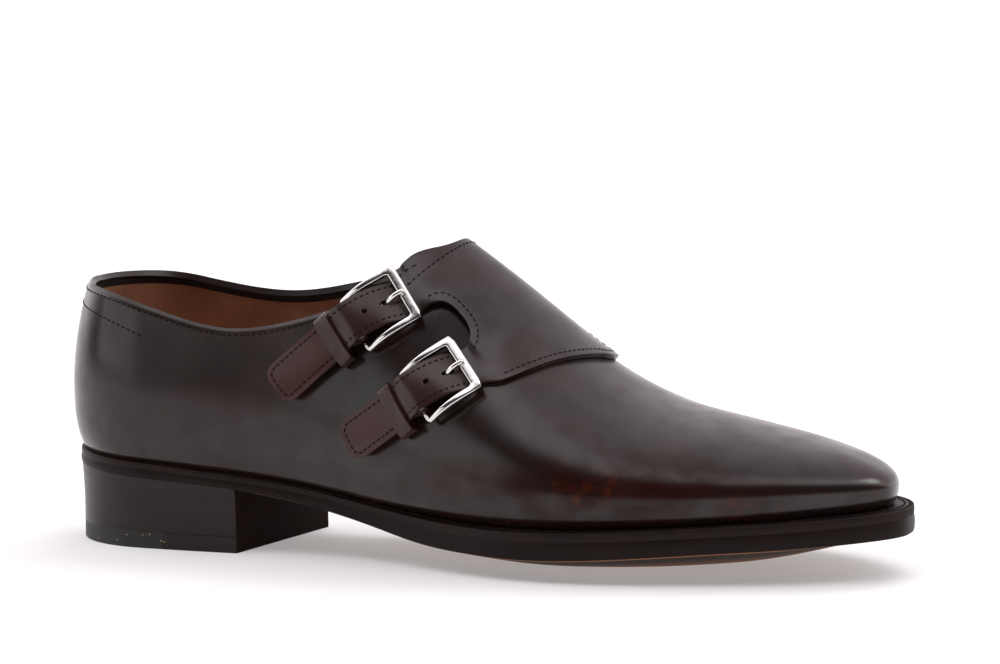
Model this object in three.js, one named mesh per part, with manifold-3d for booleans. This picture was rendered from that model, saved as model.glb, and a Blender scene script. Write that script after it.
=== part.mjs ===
// A double monk strap shoe, right foot, size about UK 8.
// Frame while building, in millimetres: X runs from the heel to the toe, +Y is the inner (medial) side,
// -Y the outer (lateral) side, Z is up and the floor is Z = 0.
import * as THREE from "three";
import { mergeVertices } from "three/addons/utils/BufferGeometryUtils.js";
import Module from "manifold-3d";

const wasm = await Module();
wasm.setup();

// ---------------------------------------------------------------- driving dimensions

const GAP = 0.3; // clearance between touching pieces
const UPPER_WALL = 2.2; // upper leather with its lining
const FLAP_THICKNESS = 1.8;
const HEEL_X = 37; // centre of the heel's round back
const HEEL_BACK_X = 4; // rearmost point of the feather line
const TOE_X = 250; // centre of the toe's round front
const TOE_TIP_X = 296; // foremost point of the feather line
const HEEL_ROUNDNESS = 2.1; // superellipse power, 2 is an ellipse
const TOE_ROUNDNESS = 2.25;
const BACK_BULGE = 3.4; // how far the counter stands out past the feather line
const TOE_BULGE = 1.9;
const THROAT_X = 144.5; // where the two toplines meet on the ridge, under the flap
const HEEL_BREAST_X = 76.3;
const HEEL_BREAST_TURN = THREE.MathUtils.degToRad(7.5);
const HEEL_TAPER = 0.6; // the block is this much smaller at the floor
const TOP_PIECE_HEIGHT = 5.8;
const RUBBER_X = 45; // front of the rubber corner of the top piece
const RAND_END_X = 72; // the heel rand ends and the welt starts
const INSOLE_RISE = 1.0; // the insole's top edge above the feather line

// The last, from its feather line up. A row for each section across the foot.
//   x           distance of the section from the heel
//   lat, med    half widths of the feather line on the outer and the inner side
//   feather     height of the feather line
//   latW, medW  greatest half widths, and latZ, medZ the heights where they lie
//   ridgeY, ridgeZ  the line where both sides meet on top
//   rise, flat  how upright the wall stays, and how flat the top is
const LAST = table(
  ["x", "lat", "med", "feather", "latW", "medW", "latZ", "medZ", "ridgeY", "ridgeZ", "rise", "flat"],
  [
    [4, 30.5, 30.5, 31.8, 34.0, 34.0, 52, 52, 0.0, 138.0, 0.42, 0.42],
    [36, 30.5, 30.5, 29.8, 34.0, 34.0, 51, 51, 0.0, 137.0, 0.36, 0.28],
    [62, 30.0, 29.0, 27.9, 34.0, 33.5, 48, 50, 0.5, 135.0, 0.37, 0.3],
    [90, 28.5, 25.0, 25.0, 34.0, 33.0, 44, 48, 1.5, 131.0, 0.42, 0.34],
    [115, 29.5, 24.0, 21.2, 36.5, 34.5, 38, 45, 2.5, 121.0, 0.44, 0.36],
    [140, 34.5, 29.0, 18.2, 41.0, 38.0, 33, 40, 3.5, 106.0, 0.45, 0.38],
    [165, 41.5, 37.0, 17.0, 45.5, 42.5, 29, 34, 4.5, 88.0, 0.48, 0.42],
    [190, 44.8, 43.5, 17.2, 47.8, 46.5, 28, 30, 5.5, 68.4, 0.52, 0.48],
    [215, 42.5, 45.5, 18.2, 44.8, 48.0, 28, 28, 6.0, 54.8, 0.54, 0.55],
    [240, 35.5, 43.0, 19.6, 37.3, 45.0, 28, 28, 6.0, 49.0, 0.54, 0.56],
    [265, 27.0, 37.5, 21.2, 28.5, 39.0, 29, 29, 6.0, 43.8, 0.52, 0.55],
    [297, 17.0, 28.0, 23.8, 18.5, 29.5, 30, 30, 6.0, 36.0, 0.5, 0.52],
  ],
);

// The collar's edge: its height on the outer and the inner side.
const TOPLINE = table(
  ["x", "lat", "med"],
  [
    [5, 88.6, 88.6],
    [20, 87.2, 87.8],
    [38, 83.4, 85.4],
    [55, 79.0, 83.0],
    [70, 77.0, 82.6],
    [85, 78.5, 84.8],
    [100, 82.4, 88.4],
    [115, 87.8, 92.6],
    [128, 93.8, 97.2],
    [137, 98.4, 100.4],
    [THROAT_X, 103.2, 103.2],
  ],
);

// The sole's edge: how far it stands out past the feather line on either side, the height of its lower
// edge, the height of the sole's centre line, and the welt's thickness.
const EDGE = table(
  ["x", "lat", "med", "lower", "centre", "welt"],
  [
    [2, 1.0, 1.0, 26.4, 26.4, 2.0],
    [40, 1.8, 1.8, 23.9, 23.9, 2.0],
    [75, 2.0, 1.5, 21.4, 21.4, 2.0],
    [107, 2.0, 1.0, 16.2, 15.0, 2.0],
    [125, 2.6, 1.8, 12.4, 9.8, 2.2],
    [143, 4.2, 3.2, 9.2, 5.6, 2.6],
    [164, 5.4, 4.4, 7.9, 1.6, 3.0],
    [184, 6.0, 5.0, 7.6, -0.6, 3.0],
    [202, 6.0, 5.0, 8.2, -0.6, 3.0],
    [224, 6.0, 5.0, 9.6, 0.4, 3.0],
    [245, 6.0, 5.4, 11.0, 2.4, 3.0],
    [264, 6.2, 6.0, 12.2, 5.2, 3.0],
    [282, 6.8, 6.6, 13.5, 8.8, 3.0],
    [304, 7.2, 7.2, 15.0, 13.4, 3.0],
  ],
);

// The flap is laid out flat: "along" runs down the ridge of the foot, "round" runs from the ridge over
// the outer side, and is negative on the inner side. Sections of the layout lean back by this angle.
const LAYOUT_LEAN = THREE.MathUtils.degToRad(38);
const FLAP_EDGES = table(
  ["round", "top", "front"],
  [
    [-62, 62, 80],
    [-50, 57.5, 88],
    [-35, 53, 99],
    [-22, 50.2, 107.5],
    [-12, 48.8, 111.5],
    [0, 47.8, 109.5],
    [12, 45.8, 104.6],
    [18, 43.2, 102.2],
    [25.5, 40.4, 99.2],
    [36, 39.8, 95.2],
    [44, 39.6, 94.0],
    [50, 39.4, 92.4],
  ],
);
const SLOT_CENTRE = 69; // the keyhole between the straps, along the ridge
const SLOT_HALF = 10.3;
const SLOT_DEPTH = 8.4; // from its end to where its sides run straight
const SLOT_ROUNDNESS = 2.6;
const FLAP_INNER_END = -62; // the flap's inner end, where it is thin and joins the quarter
const FLAP_INNER_FADE = 30;
const FLAP_EDGE_THICKNESS = 0.5;
const HALF_COLUMNS = 3; // columns of the flap on either side of the keyhole's middle
const ROW_LEAN = 0.3;
const BODY_ROWS = [-62, -54, -46, -38, -30, -23, -16, -12, -8, -4, 0, 4, 8, 12, 16, 22, 28.6];
const ROOT_ROWS = [28.8, 29.4, 30.4, 31.8];
const SLOT_END = BODY_ROWS[BODY_ROWS.length - 1]; // where the slot starts

// The straps run back and down over the outer side, from under the buckle's front bar to their tips.
// A row is a place of the strap's centre line: s from the front bar, and x and z on the last.
// The buckles are stiff and flat, and each sits a little askew: its turns in degrees and its shift along
// the strap, across it and off the leather, in the space of the strap at the buckle's middle. Its rise is
// the height of its middle plane above the leather at the hinge.
const STRAP_PLACE = ["s", "x", "z"];
const UPPER_STRAP = {
  line: table(STRAP_PLACE, [
    [-9, 142.6, 91.6],
    [0, 134.2, 88.6],
    [14, 122.2, 82.6],
    [28, 110.9, 74.6],
    [57, 89.6, 56.4],
  ]),
  tip: 55,
  buckle: { pitch: -3, yaw: 6, shift: { s: -0.9, w: 0.1, h: 4.0 }, rise: 5.1 },
};
const LOWER_STRAP = {
  line: table(STRAP_PLACE, [
    [-9, 169.2, 70.8],
    [0, 160.8, 67.6],
    [14, 148.6, 61.4],
    [28, 137.2, 53.4],
    [57, 113.4, 37.6],
  ]),
  tip: 50,
  buckle: { pitch: -5.5, yaw: 8, shift: { s: 0.0, w: 0.2, h: 4.25 }, rise: 6.3 },
};
const STRAP_WIDTH = 14.6;
const STRAP_THICKNESS = 1.6;
const STRAP_CORNER = 4.5;
const STRAP_CROWN = 60; // radius of the strap across its width
// The height of the strap's under side above the upper, along s: it passes under the buckle's front bar,
// over its hinge and down through the keeper.
const STRAP_RISE = table(
  ["s", "h"],
  [
    [-9, 0.5],
    [-3, 0.45],
    [0, 0.5],
    [2.6, 0.8],
    [6, 2.5],
    [10, 4.4],
    [14, 5.5],
    [19, 6.3],
    [22, 6.0],
    [24, 5.1],
    [28, 3.5],
    [34, 3.0],
    [45, 2.9],
    [57, 3.1],
  ],
);

const BUCKLE_OUTER_WIDTH = 22.6;
const BUCKLE_SIDE_WIDTH = 2.6;
const BUCKLE_FRONT_WIDTH = 3.4;
const BUCKLE_THICKNESS = 2.4;
const BUCKLE_FRONT_S = 1.2; // the middle of the front bar
const BUCKLE_MIDDLE_S = 10;
const HINGE_S = 20.9; // the hinge bar, from the front bar
const HINGE_H = -2.7; // the hinge lies below the frame's middle plane
const HINGE_RADIUS = 0.85;
const TAB_WIDTH = 12;
const TAB_THICKNESS = 0.8;
const TAB_BEND_S = 22.5; // from here to there the tab bends down to the leather, in line with its strap
const TAB_FLAT_S = 25.5;
const TAB_END = 42;
const TAB_LIFT = 2.1; // the tab runs over the lower side of the keeper
const PRONG_RADIUS = 0.7;
const PRONG_SLOT = 3.6; // the slot for the prong in the tab's roll
const HOLE_HALF = 1.1;
const STRAP_ROWS = [0.4, 2.6, 4.9, 10.7, 13.1, 15.1, 17.5, 20, 24, 28];
const HOLE_ENDS = [10.7, 15.1]; // rows at the far ends of the prong's slot and of the spare hole
const KEEPER_S = 28;
const KEEPER_LENGTH = 5;
const KEEPER_THICKNESS = 1.1;
const KEEPER_SIDE = 1.4;
const KEEPER_SLACK = 1.3; // spare room inside the keeper on the sole side

const COLOURS = {
  upper: [0x3a2925, 0.32, 0],
  flap: [0x3c2b27, 0.32, 0],
  lining: [0x7a4a2c, 0.6, 0],
  edge: [0x1d1817, 0.35, 0],
  sole: [0xb98a5e, 0.6, 0],
  heel: [0x1b1716, 0.4, 0],
  rubber: [0x161414, 0.7, 0],
  nickel: [0xd9d6d0, 0.18, 1],
};

// ---------------------------------------------------------------- tables and small sums

/** A natural cubic spline through the points (xs, ys). */
function spline(xs, ys) {
  const count = xs.length;
  const bend = new Array(count).fill(0);
  const diagonal = new Array(count).fill(0);
  for (let i = 1; i < count - 1; i++) {
    const before = xs[i] - xs[i - 1];
    const after = xs[i + 1] - xs[i];
    const slopes = (ys[i + 1] - ys[i]) / after - (ys[i] - ys[i - 1]) / before;
    const share = i > 1 ? before / diagonal[i - 1] : 0;
    diagonal[i] = 2 * (before + after) - share * before;
    bend[i] = 6 * slopes - share * bend[i - 1];
  }
  for (let i = count - 2; i > 0; i--) {
    bend[i] = (bend[i] - (xs[i + 1] - xs[i]) * bend[i + 1]) / diagonal[i];
  }
  return (x) => {
    let i = 0;
    while (i < count - 2 && x > xs[i + 1]) i += 1;
    const width = xs[i + 1] - xs[i];
    const a = (xs[i + 1] - x) / width;
    const b = (x - xs[i]) / width;
    const curve = (a ** 3 - a) * bend[i] + (b ** 3 - b) * bend[i + 1];
    return a * ys[i] + b * ys[i + 1] + (curve * width * width) / 6;
  };
}

/** Named columns, each a spline over the first column. */
function table(names, rows) {
  const keys = rows.map((row) => row[0]);
  return Object.fromEntries(names.slice(1).map((name, k) => [name, spline(keys, rows.map((row) => row[k + 1]))]));
}

/** A cubic curve with four control values. */
function bezier(a, b, c, d, t) {
  const s = 1 - t;
  return s ** 3 * a + 3 * s * s * t * b + 3 * s * t * t * c + t ** 3 * d;
}

/** The argument between low and high where the rising function reaches the value. */
function solve(rising, value, low, high) {
  for (let i = 0; i < 36; i++) {
    const middle = (low + high) / 2;
    if (rising(middle) < value) low = middle;
    else high = middle;
  }
  return (low + high) / 2;
}

function steps(from, to, count) {
  return Array.from({ length: count + 1 }, (_, i) => from + ((to - from) * i) / count);
}

// ---------------------------------------------------------------- the last

const WIDEST_SHARE = 0.35; // part of the parameter v below the widest height

/**
 * A station of the feather line, as a spot on the ground plan. A turn of 0 to 90 degrees goes round the
 * heel's back or the toe; the middle of the foot is given by x.
 */
function station(part, value, side) {
  if (part === "heel") {
    const turn = (value * Math.PI) / 2;
    const x = HEEL_X - (HEEL_X - HEEL_BACK_X) * Math.cos(turn) ** (2 / HEEL_ROUNDNESS);
    return ground(x, Math.sin(turn) ** (2 / HEEL_ROUNDNESS), side);
  }
  if (part === "toe") {
    const turn = (value * Math.PI) / 2;
    const x = TOE_X + (TOE_TIP_X - TOE_X) * Math.sin(turn) ** (2 / TOE_ROUNDNESS);
    return ground(x, Math.max(Math.cos(turn), 0) ** (2 / TOE_ROUNDNESS), side);
  }
  return ground(value, 1, side);
}

/** The plan geometry of a station: its centre, its direction from the centre, and its radius. */
function ground(x, share, side) {
  const half = side < 0 ? LAST.lat(x) : LAST.med(x);
  const widest = side < 0 ? LAST.latW(x) : LAST.medW(x);
  const centreX = THREE.MathUtils.clamp(x, HEEL_X, TOE_X);
  const centreY = LAST.ridgeY(centreX);
  const dx = x - centreX;
  const dy = side * half * share - centreY;
  const radius = Math.hypot(dx, dy);
  const ux = dx / radius;
  const uy = dy / radius;
  const endBulge = x < HEEL_X ? BACK_BULGE : TOE_BULGE;
  const bulge = (widest - half) * uy * uy + (ux === 0 ? 0 : endBulge * ux * ux);
  return { x, side, centreX, centreY, ux, uy, radius, bulge };
}

/** A point of the last's surface over a station: v is 0 at the feather line and 1 on the ridge. */
function lastPoint(at, v) {
  const feather = LAST.feather(at.x);
  const widestZ = at.side < 0 ? LAST.latZ(at.x) : LAST.medZ(at.x);
  const ridge = LAST.ridgeZ(at.centreX);
  const widest = at.radius + at.bulge;
  let r;
  let z;
  if (v < WIDEST_SHARE) {
    const t = v / WIDEST_SHARE;
    const height = widestZ - feather;
    r = bezier(at.radius, at.radius + at.bulge * 0.75, widest, widest, t);
    z = bezier(feather, feather + height * 0.22, widestZ - height * 0.45, widestZ, t);
  } else {
    const t = (v - WIDEST_SHARE) / (1 - WIDEST_SHARE);
    const height = ridge - widestZ;
    const reach = widest * LAST.flat(at.x);
    const fall = at.centreX < TOE_X ? 0 : (LAST.ridgeZ(TOE_X) - LAST.ridgeZ(TOE_X - 1)) * at.ux;
    r = bezier(widest, widest, reach, 0, t);
    z = bezier(widestZ, widestZ + height * LAST.rise(at.x), ridge + fall * reach, ridge, t);
  }
  return new THREE.Vector3(at.centreX + at.ux * r, at.centreY + at.uy * r, z);
}

/** The station a little way further round the foot, for slopes. */
function beside(at, by) {
  if (at.part === "middle") return place("middle", at.value + by * 100, at.side);
  return place(at.part, THREE.MathUtils.clamp(at.value + by, 0.0005, 0.9995), at.side);
}

function place(part, value, side) {
  return { ...station(part, value, side), part, value };
}

/** The last's outward normal. */
function lastNormal(at, v) {
  if (v > 0.97) {
    const rise = LAST.ridgeZ(at.centreX + 0.5) - LAST.ridgeZ(at.centreX - 0.5);
    return new THREE.Vector3(-rise, 0, 1).normalize();
  }
  const small = 0.002;
  const round = lastPoint(beside(at, small), v).sub(lastPoint(beside(at, -small), v));
  const up = lastPoint(at, v + small).sub(lastPoint(at, Math.max(v - small, 0)));
  return round.cross(up).multiplyScalar(-at.side).normalize();
}

/** A point at a distance outside (or, if negative, inside) the last. */
function offLast(at, v, distance) {
  return lastPoint(at, v).addScaledVector(lastNormal(at, v), distance);
}

/** Stations from the toe back round the heel and forward to the toe again, on the other side. */
function allRound(heelSteps, backSteps, frontSteps, toeSteps) {
  const half = [
    ...steps(0, 1, heelSteps).map((value) => ["heel", value]),
    ...steps(HEEL_X, THROAT_X, backSteps).slice(1).map((value) => ["middle", value]),
    ...steps(THROAT_X, TOE_X, frontSteps).slice(1).map((value) => ["middle", value]),
    ...steps(0, 1, toeSteps).slice(1).map((value) => ["toe", value]),
  ];
  const lateral = half.map(([part, value]) => place(part, value, -1)).reverse();
  const medial = half.map(([part, value]) => place(part, value, 1));
  return [...lateral, ...medial.slice(1, -1)];
}

// ---------------------------------------------------------------- solids

function toManifold(geometry) {
  const bare = geometry.clone();
  bare.deleteAttribute("normal");
  bare.deleteAttribute("uv");
  const merged = mergeVertices(bare, 1e-4);
  const index = merged.index.array;
  const kept = [];
  for (let i = 0; i < index.length; i += 3) {
    const [a, b, c] = [index[i], index[i + 1], index[i + 2]];
    if (a !== b && b !== c && c !== a) kept.push(a, b, c);
  }
  return new wasm.Manifold(
    new wasm.Mesh({
      numProp: 3,
      vertProperties: new Float32Array(merged.attributes.position.array),
      triVerts: new Uint32Array(kept),
    }),
  );
}

function toGeometry(solid) {
  const mesh = solid.getMesh();
  const geometry = new THREE.BufferGeometry();
  geometry.setAttribute("position", new THREE.BufferAttribute(new Float32Array(mesh.vertProperties), 3));
  geometry.setIndex(new THREE.BufferAttribute(new Uint32Array(mesh.triVerts), 1));
  geometry.computeVertexNormals();
  return geometry;
}

/**
 * A closed solid from a grid of section loops: rows[i] is a closed loop of points. The rows close on
 * themselves when ring is true, and are capped by their first and last loops when it is not.
 */
function loft(rows, ring = false) {
  const across = rows[0].length;
  const points = rows.flat();
  const index = [];
  const last = ring ? rows.length : rows.length - 1;
  for (let i = 0; i < last; i++) {
    const next = (i + 1) % rows.length;
    for (let j = 0; j < across; j++) {
      const k = (j + 1) % across;
      const [a, b, c, d] = [i * across + j, next * across + j, next * across + k, i * across + k];
      index.push(a, b, c, a, c, d);
    }
  }
  if (!ring) {
    const top = (rows.length - 1) * across;
    for (let j = 1; j < across - 1; j++) {
      index.push(0, j, j + 1);
      index.push(top, top + j + 1, top + j);
    }
  }
  return facesToSolid(points, index);
}

/** A solid from points and triangles, turned the right way out. */
function facesToSolid(points, index) {
  const geometry = new THREE.BufferGeometry();
  geometry.setAttribute("position", new THREE.Float32BufferAttribute(points.flatMap((p) => p.toArray()), 3));
  geometry.setIndex(signedVolume(points, index) < 0 ? index.reverse() : index);
  return toManifold(geometry);
}

function signedVolume(points, index) {
  let volume = 0;
  for (let i = 0; i < index.length; i += 3) {
    const [a, b, c] = [points[index[i]], points[index[i + 1]], points[index[i + 2]]];
    volume += a.dot(new THREE.Vector3().crossVectors(b, c)) / 6;
  }
  return volume;
}

/**
 * A leather sheet from its outer and inner points, pairs of one place each, and the four-cornered cells
 * between places. Walls close it along every edge that only one cell has: the outline and any hole.
 */
function thickSheet(places, cells) {
  const points = [...places.map((pair) => pair[0]), ...places.map((pair) => pair[1])];
  const under = places.length;
  const index = [];
  const quad = (a, b, c, d) => index.push(a, b, c, a, c, d);
  const sides = new Set(cells.flatMap((cell) => cell.map((a, i) => `${a},${cell[(i + 1) % 4]}`)));
  for (const [a, b, c, d] of cells) {
    quad(a, b, c, d);
    quad(under + d, under + c, under + b, under + a);
  }
  for (const side of sides) {
    const [a, b] = side.split(",").map(Number);
    if (!sides.has(`${b},${a}`)) quad(b, a, under + a, under + b);
  }
  return facesToSolid(points, index);
}

/** A box with a face turned about Z, used to cut pieces at a line across the foot. */
function behindLine(x, turn = 0, size = 400) {
  const box = new THREE.BoxGeometry(size, size, size);
  box.translate(-size / 2, 0, 0);
  box.rotateZ(-turn);
  box.translate(x, 0, 0);
  return toManifold(box);
}

// ---------------------------------------------------------------- sole pieces

const SOLE_STATIONS = allRound(8, 10, 10, 9);

function edgeReach(at) {
  return at.side < 0 ? EDGE.lat(at.x) : EDGE.med(at.x);
}

/** A spot of the plan at a share of the way from the station's centre to a radius. */
function planSpot(at, radius) {
  return { x: at.centreX + at.ux * radius, y: at.centreY + at.uy * radius };
}

/** The sole's cambered surface: lower at the centre line than at the edge. */
function camber(x, share, edgeZ) {
  return edgeZ + (EDGE.centre(x) - EDGE.lower(x)) * (1 - share * share);
}

function outsoleBottom(x, share) {
  return Math.max(camber(x, share, EDGE.lower(x)), 0);
}

function outsoleTop(x, share) {
  return camber(x, share, LAST.feather(x) - 2 * GAP - EDGE.welt(x));
}

/**
 * A slab under the foot, from the centre of each station out to its own edge. The edge, top and bottom
 * are functions, and ring leaves the middle open from the inner radius inwards.
 */
function slab(outerRadius, topZ, bottomZ, shares, innerRadius = null) {
  const rows = SOLE_STATIONS.map((at) => {
    const edge = at.radius + edgeReach(at);
    const outer = outerRadius(at);
    const inner = innerRadius ? innerRadius(at) : 0;
    const spots = shares.map((share) => inner + (outer - inner) * share);
    const point = (radius, height) => {
      const { x, y } = planSpot(at, radius);
      return new THREE.Vector3(x, y, height(x, radius / edge));
    };
    const lower = spots.map((radius) => point(radius, bottomZ));
    const upper = spots.map((radius) => point(radius, topZ)).reverse();
    return [...lower, ...upper];
  });
  return innerRadius ? loft(rows, true) : openCentre(rows);
}

/** Closes a slab whose sections all start on the foot's centre line, where they share their points. */
function openCentre(rows) {
  const across = rows[0].length;
  const points = rows.flat();
  const index = [];
  for (let i = 0; i < rows.length; i++) {
    const next = (i + 1) % rows.length;
    for (let j = 0; j < across - 1; j++) {
      const [a, b, c, d] = [i * across + j, next * across + j, next * across + j + 1, i * across + j + 1];
      index.push(a, b, c, a, c, d);
    }
  }
  return facesToSolid(points, index);
}

const FULL = [0, 0.15, 0.35, 0.7, 1];
const COARSE = [0, 0.5, 1];

function makeOutsole() {
  return slab((at) => at.radius + edgeReach(at), outsoleTop, outsoleBottom, FULL);
}

function makeWeltRing() {
  const top = (x) => LAST.feather(x) - GAP;
  const bottom = (x, share) => outsoleTop(x, share) + GAP;
  const outer = (at) => at.radius + edgeReach(at);
  const inner = (at) => at.radius - UPPER_WALL;
  return slab(outer, top, bottom, COARSE, inner);
}

function makeInsole() {
  const top = (x, share) => LAST.feather(x) + INSOLE_RISE + 0.5 * (EDGE.centre(x) - EDGE.lower(x)) * (1 - share * share);
  const bottom = (x, share) => outsoleTop(x, share) + GAP;
  return slab((at) => at.radius - UPPER_WALL - 1.5 * GAP, top, bottom, [0, 0.4, 0.75, 1]);
}

/** The heel block's outline shrinks a little from the sole down to the floor. */
function heelSlab(top, bottom) {
  const outline = (at) => at.radius + edgeReach(at) - HEEL_TAPER;
  return slab(outline, top, bottom, COARSE).intersect(behindLine(HEEL_BREAST_X, HEEL_BREAST_TURN));
}

function makeHeelStack() {
  return heelSlab((x) => EDGE.lower(x) - GAP, () => TOP_PIECE_HEIGHT + GAP);
}

function makeTopPiece() {
  return heelSlab(() => TOP_PIECE_HEIGHT, () => 0);
}

// ---------------------------------------------------------------- upper

const UPPER_ROWS = 11;

/** How far up its section the upper's leather goes at a station. */
function topShare(at) {
  if (at.x >= THROAT_X - 1e-6) return 1;
  const first = lastPoint(at, WIDEST_SHARE);
  const edgeX = at.x < HEEL_X ? first.x : at.x;
  const height = at.side < 0 ? TOPLINE.lat(edgeX) : TOPLINE.med(edgeX);
  return solve((v) => lastPoint(at, v).z, height, 0, 1);
}

/** The upper's leather: one wall all round the foot, open at the collar and underneath. */
function makeUpper() {
  const stations = allRound(8, 11, 11, 9);
  const column = (at, distance) => {
    const top = topShare(at);
    return steps(0, 1, UPPER_ROWS).map((t) => offLast(at, (t ** 0.85) * top, distance));
  };
  const outer = stations.map((at) => column(at, 0));
  const inner = stations.map((at) => column(at, -UPPER_WALL));
  const across = UPPER_ROWS + 1;
  const under = stations.length * across;
  const points = [...outer.flat(), ...inner.flat()];
  const index = [];
  const quad = (a, b, c, d) => index.push(a, b, c, a, c, d);
  for (let i = 0; i < stations.length; i++) {
    const next = (i + 1) % stations.length;
    for (let j = 0; j < UPPER_ROWS; j++) {
      const [a, b, c, d] = [i * across + j, next * across + j, next * across + j + 1, i * across + j + 1];
      quad(a, b, c, d);
      quad(under + d, under + c, under + b, under + a);
    }
    const [foot, footNext] = [i * across, next * across];
    quad(under + foot, under + footNext, footNext, foot);
    const closed = stations[i].x >= THROAT_X - 1e-6 && stations[next].x >= THROAT_X - 1e-6;
    const [rim, rimNext] = [foot + UPPER_ROWS, footNext + UPPER_ROWS];
    if (!closed) quad(rim, rimNext, under + rimNext, under + rim);
  }
  return facesToSolid(points, index);
}

// ---------------------------------------------------------------- flap

const SECTION_STEPS = 90;

/** The points down one side of a leaning section of the last, from the ridge, with their girths. */
function layoutSection(along, side) {
  const cos = Math.cos(LAYOUT_LEAN);
  const sin = Math.sin(LAYOUT_LEAN);
  const found = [];
  let girth = 0;
  for (const v of steps(1, 0, SECTION_STEPS)) {
    const reach = (x) => {
      const p = lastPoint(place("middle", x, side), v);
      return p.x * cos - p.z * sin;
    };
    const x = solve(reach, along, HEEL_X, TOE_X);
    const point = lastPoint(place("middle", x, side), v);
    if (found.length) girth += point.distanceTo(found[found.length - 1].point);
    found.push({ point, girth, x, v });
  }
  return found;
}

const sections = new Map();

/** A point over the last from its place in the flat layout and its height above the leather. */
function layoutPoint(along, round, height) {
  const side = round < 0 ? 1 : -1;
  const key = `${side}:${along.toFixed(4)}`;
  if (!sections.has(key)) sections.set(key, layoutSection(along, side));
  const section = sections.get(key);
  const girth = Math.abs(round);
  let i = 1;
  while (i < section.length - 1 && section[i].girth < girth) i += 1;
  const [a, b] = [section[i - 1], section[i]];
  const t = (girth - a.girth) / (b.girth - a.girth);
  const at = place("middle", THREE.MathUtils.lerp(a.x, b.x, t), side);
  return offLast(at, THREE.MathUtils.lerp(a.v, b.v, t), height);
}

/** The outer and inner point of the flap at a place of its layout. */
function flapPlace(along, round) {
  const fade = THREE.MathUtils.smoothstep(round, FLAP_INNER_END, FLAP_INNER_END + FLAP_INNER_FADE);
  const thickness = THREE.MathUtils.lerp(FLAP_EDGE_THICKNESS, FLAP_THICKNESS, fade);
  return [layoutPoint(along, round, GAP + thickness), layoutPoint(along, round, GAP)];
}

/** Half the keyhole's width at a distance round from the ridge. */
function slotHalf(round) {
  const depth = THREE.MathUtils.clamp((SLOT_END + SLOT_DEPTH - round) / SLOT_DEPTH, 0, 1);
  return SLOT_HALF * (1 - depth ** SLOT_ROUNDNESS) ** (1 / SLOT_ROUNDNESS);
}

/** A row of places from one edge to another, leaning so that the rows end square to the straps. */
function flapRow(row, from, to) {
  const lean = (ROW_LEAN * THREE.MathUtils.clamp(row, 0, SLOT_END)) / SLOT_END;
  return steps(from, to, HALF_COLUMNS).map((along) => flapPlace(along, row + lean * (along - SLOT_CENTRE)));
}

// ---------------------------------------------------------------- straps and buckles

/** The middle station and v of the last's outer side at a given x and height. */
function outerSide(x, z) {
  const at = place("middle", x, -1);
  return { at, v: solve((v) => lastPoint(at, v).z, z, 0, 1) };
}

/**
 * The space along a strap: s runs back from the buckle's front bar, w is across (towards the sole), h is
 * the height above the leather.
 */
function strapSpace(line) {
  const onLast = (s) => {
    const { at, v } = outerSide(line.x(s), line.z(s));
    return { point: lastPoint(at, v), normal: lastNormal(at, v) };
  };
  return (s, w, h) => {
    const { point, normal } = onLast(s);
    const forward = onLast(s + 0.5).point.sub(onLast(s - 0.5).point).normalize();
    const across = new THREE.Vector3().crossVectors(forward, normal).normalize();
    if (across.z > 0) across.negate();
    return point.addScaledVector(across, w).addScaledVector(normal, h - (w * w) / (2 * STRAP_CROWN));
  };
}

/**
 * A buckle's own flat, stiff space, in line with its strap but a little askew. Its h is 0 in the middle of
 * the frame's thickness.
 */
function buckleSpace(strap, { pitch, yaw, shift }) {
  const origin = strap(BUCKLE_MIDDLE_S, 0, 0);
  const along = strap(2 * BUCKLE_MIDDLE_S, 0, 0).sub(strap(0, 0, 0)).normalize();
  const out = strap(BUCKLE_MIDDLE_S, 0, 1).sub(origin);
  out.addScaledVector(along, -out.dot(along)).normalize();
  const axes = new THREE.Matrix4().makeBasis(along, new THREE.Vector3().crossVectors(out, along), out);
  const turn = new THREE.Euler(0, THREE.MathUtils.degToRad(pitch), THREE.MathUtils.degToRad(yaw), "ZYX");
  return (s, w, h) => {
    const local = new THREE.Vector3(s - BUCKLE_MIDDLE_S, w, h).applyEuler(turn);
    local.add(new THREE.Vector3(shift.s, shift.w, shift.h));
    return local.applyMatrix4(axes).add(origin);
  };
}

/** The tab's space: stiff round the hinge, then bending down to lie along the leather under the strap. */
function tabSpace(strap, buckle, rise) {
  return (s, w, h) => {
    const share = THREE.MathUtils.smoothstep(s, TAB_BEND_S, TAB_FLAT_S);
    return buckle(s, w, h - rise).lerp(strap(s, w, h), share);
  };
}

/** A strap's half width: it is square-cut with round corners at its tip. */
function strapHalf(s, tip) {
  const into = THREE.MathUtils.clamp((s - (tip - STRAP_CORNER)) / STRAP_CORNER, 0, 1);
  return STRAP_WIDTH / 2 - STRAP_CORNER * (1 - Math.sqrt(1 - into * into));
}

/** A row of places across a strap. The middle columns are as wide as its holes. */
function strapRow(space, s, tip) {
  const half = strapHalf(s, tip);
  return [-half, -HOLE_HALF, HOLE_HALF, half].map((w) => [
    space(s, w, STRAP_RISE.h(s) + STRAP_THICKNESS),
    space(s, w, STRAP_RISE.h(s)),
  ]);
}

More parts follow.
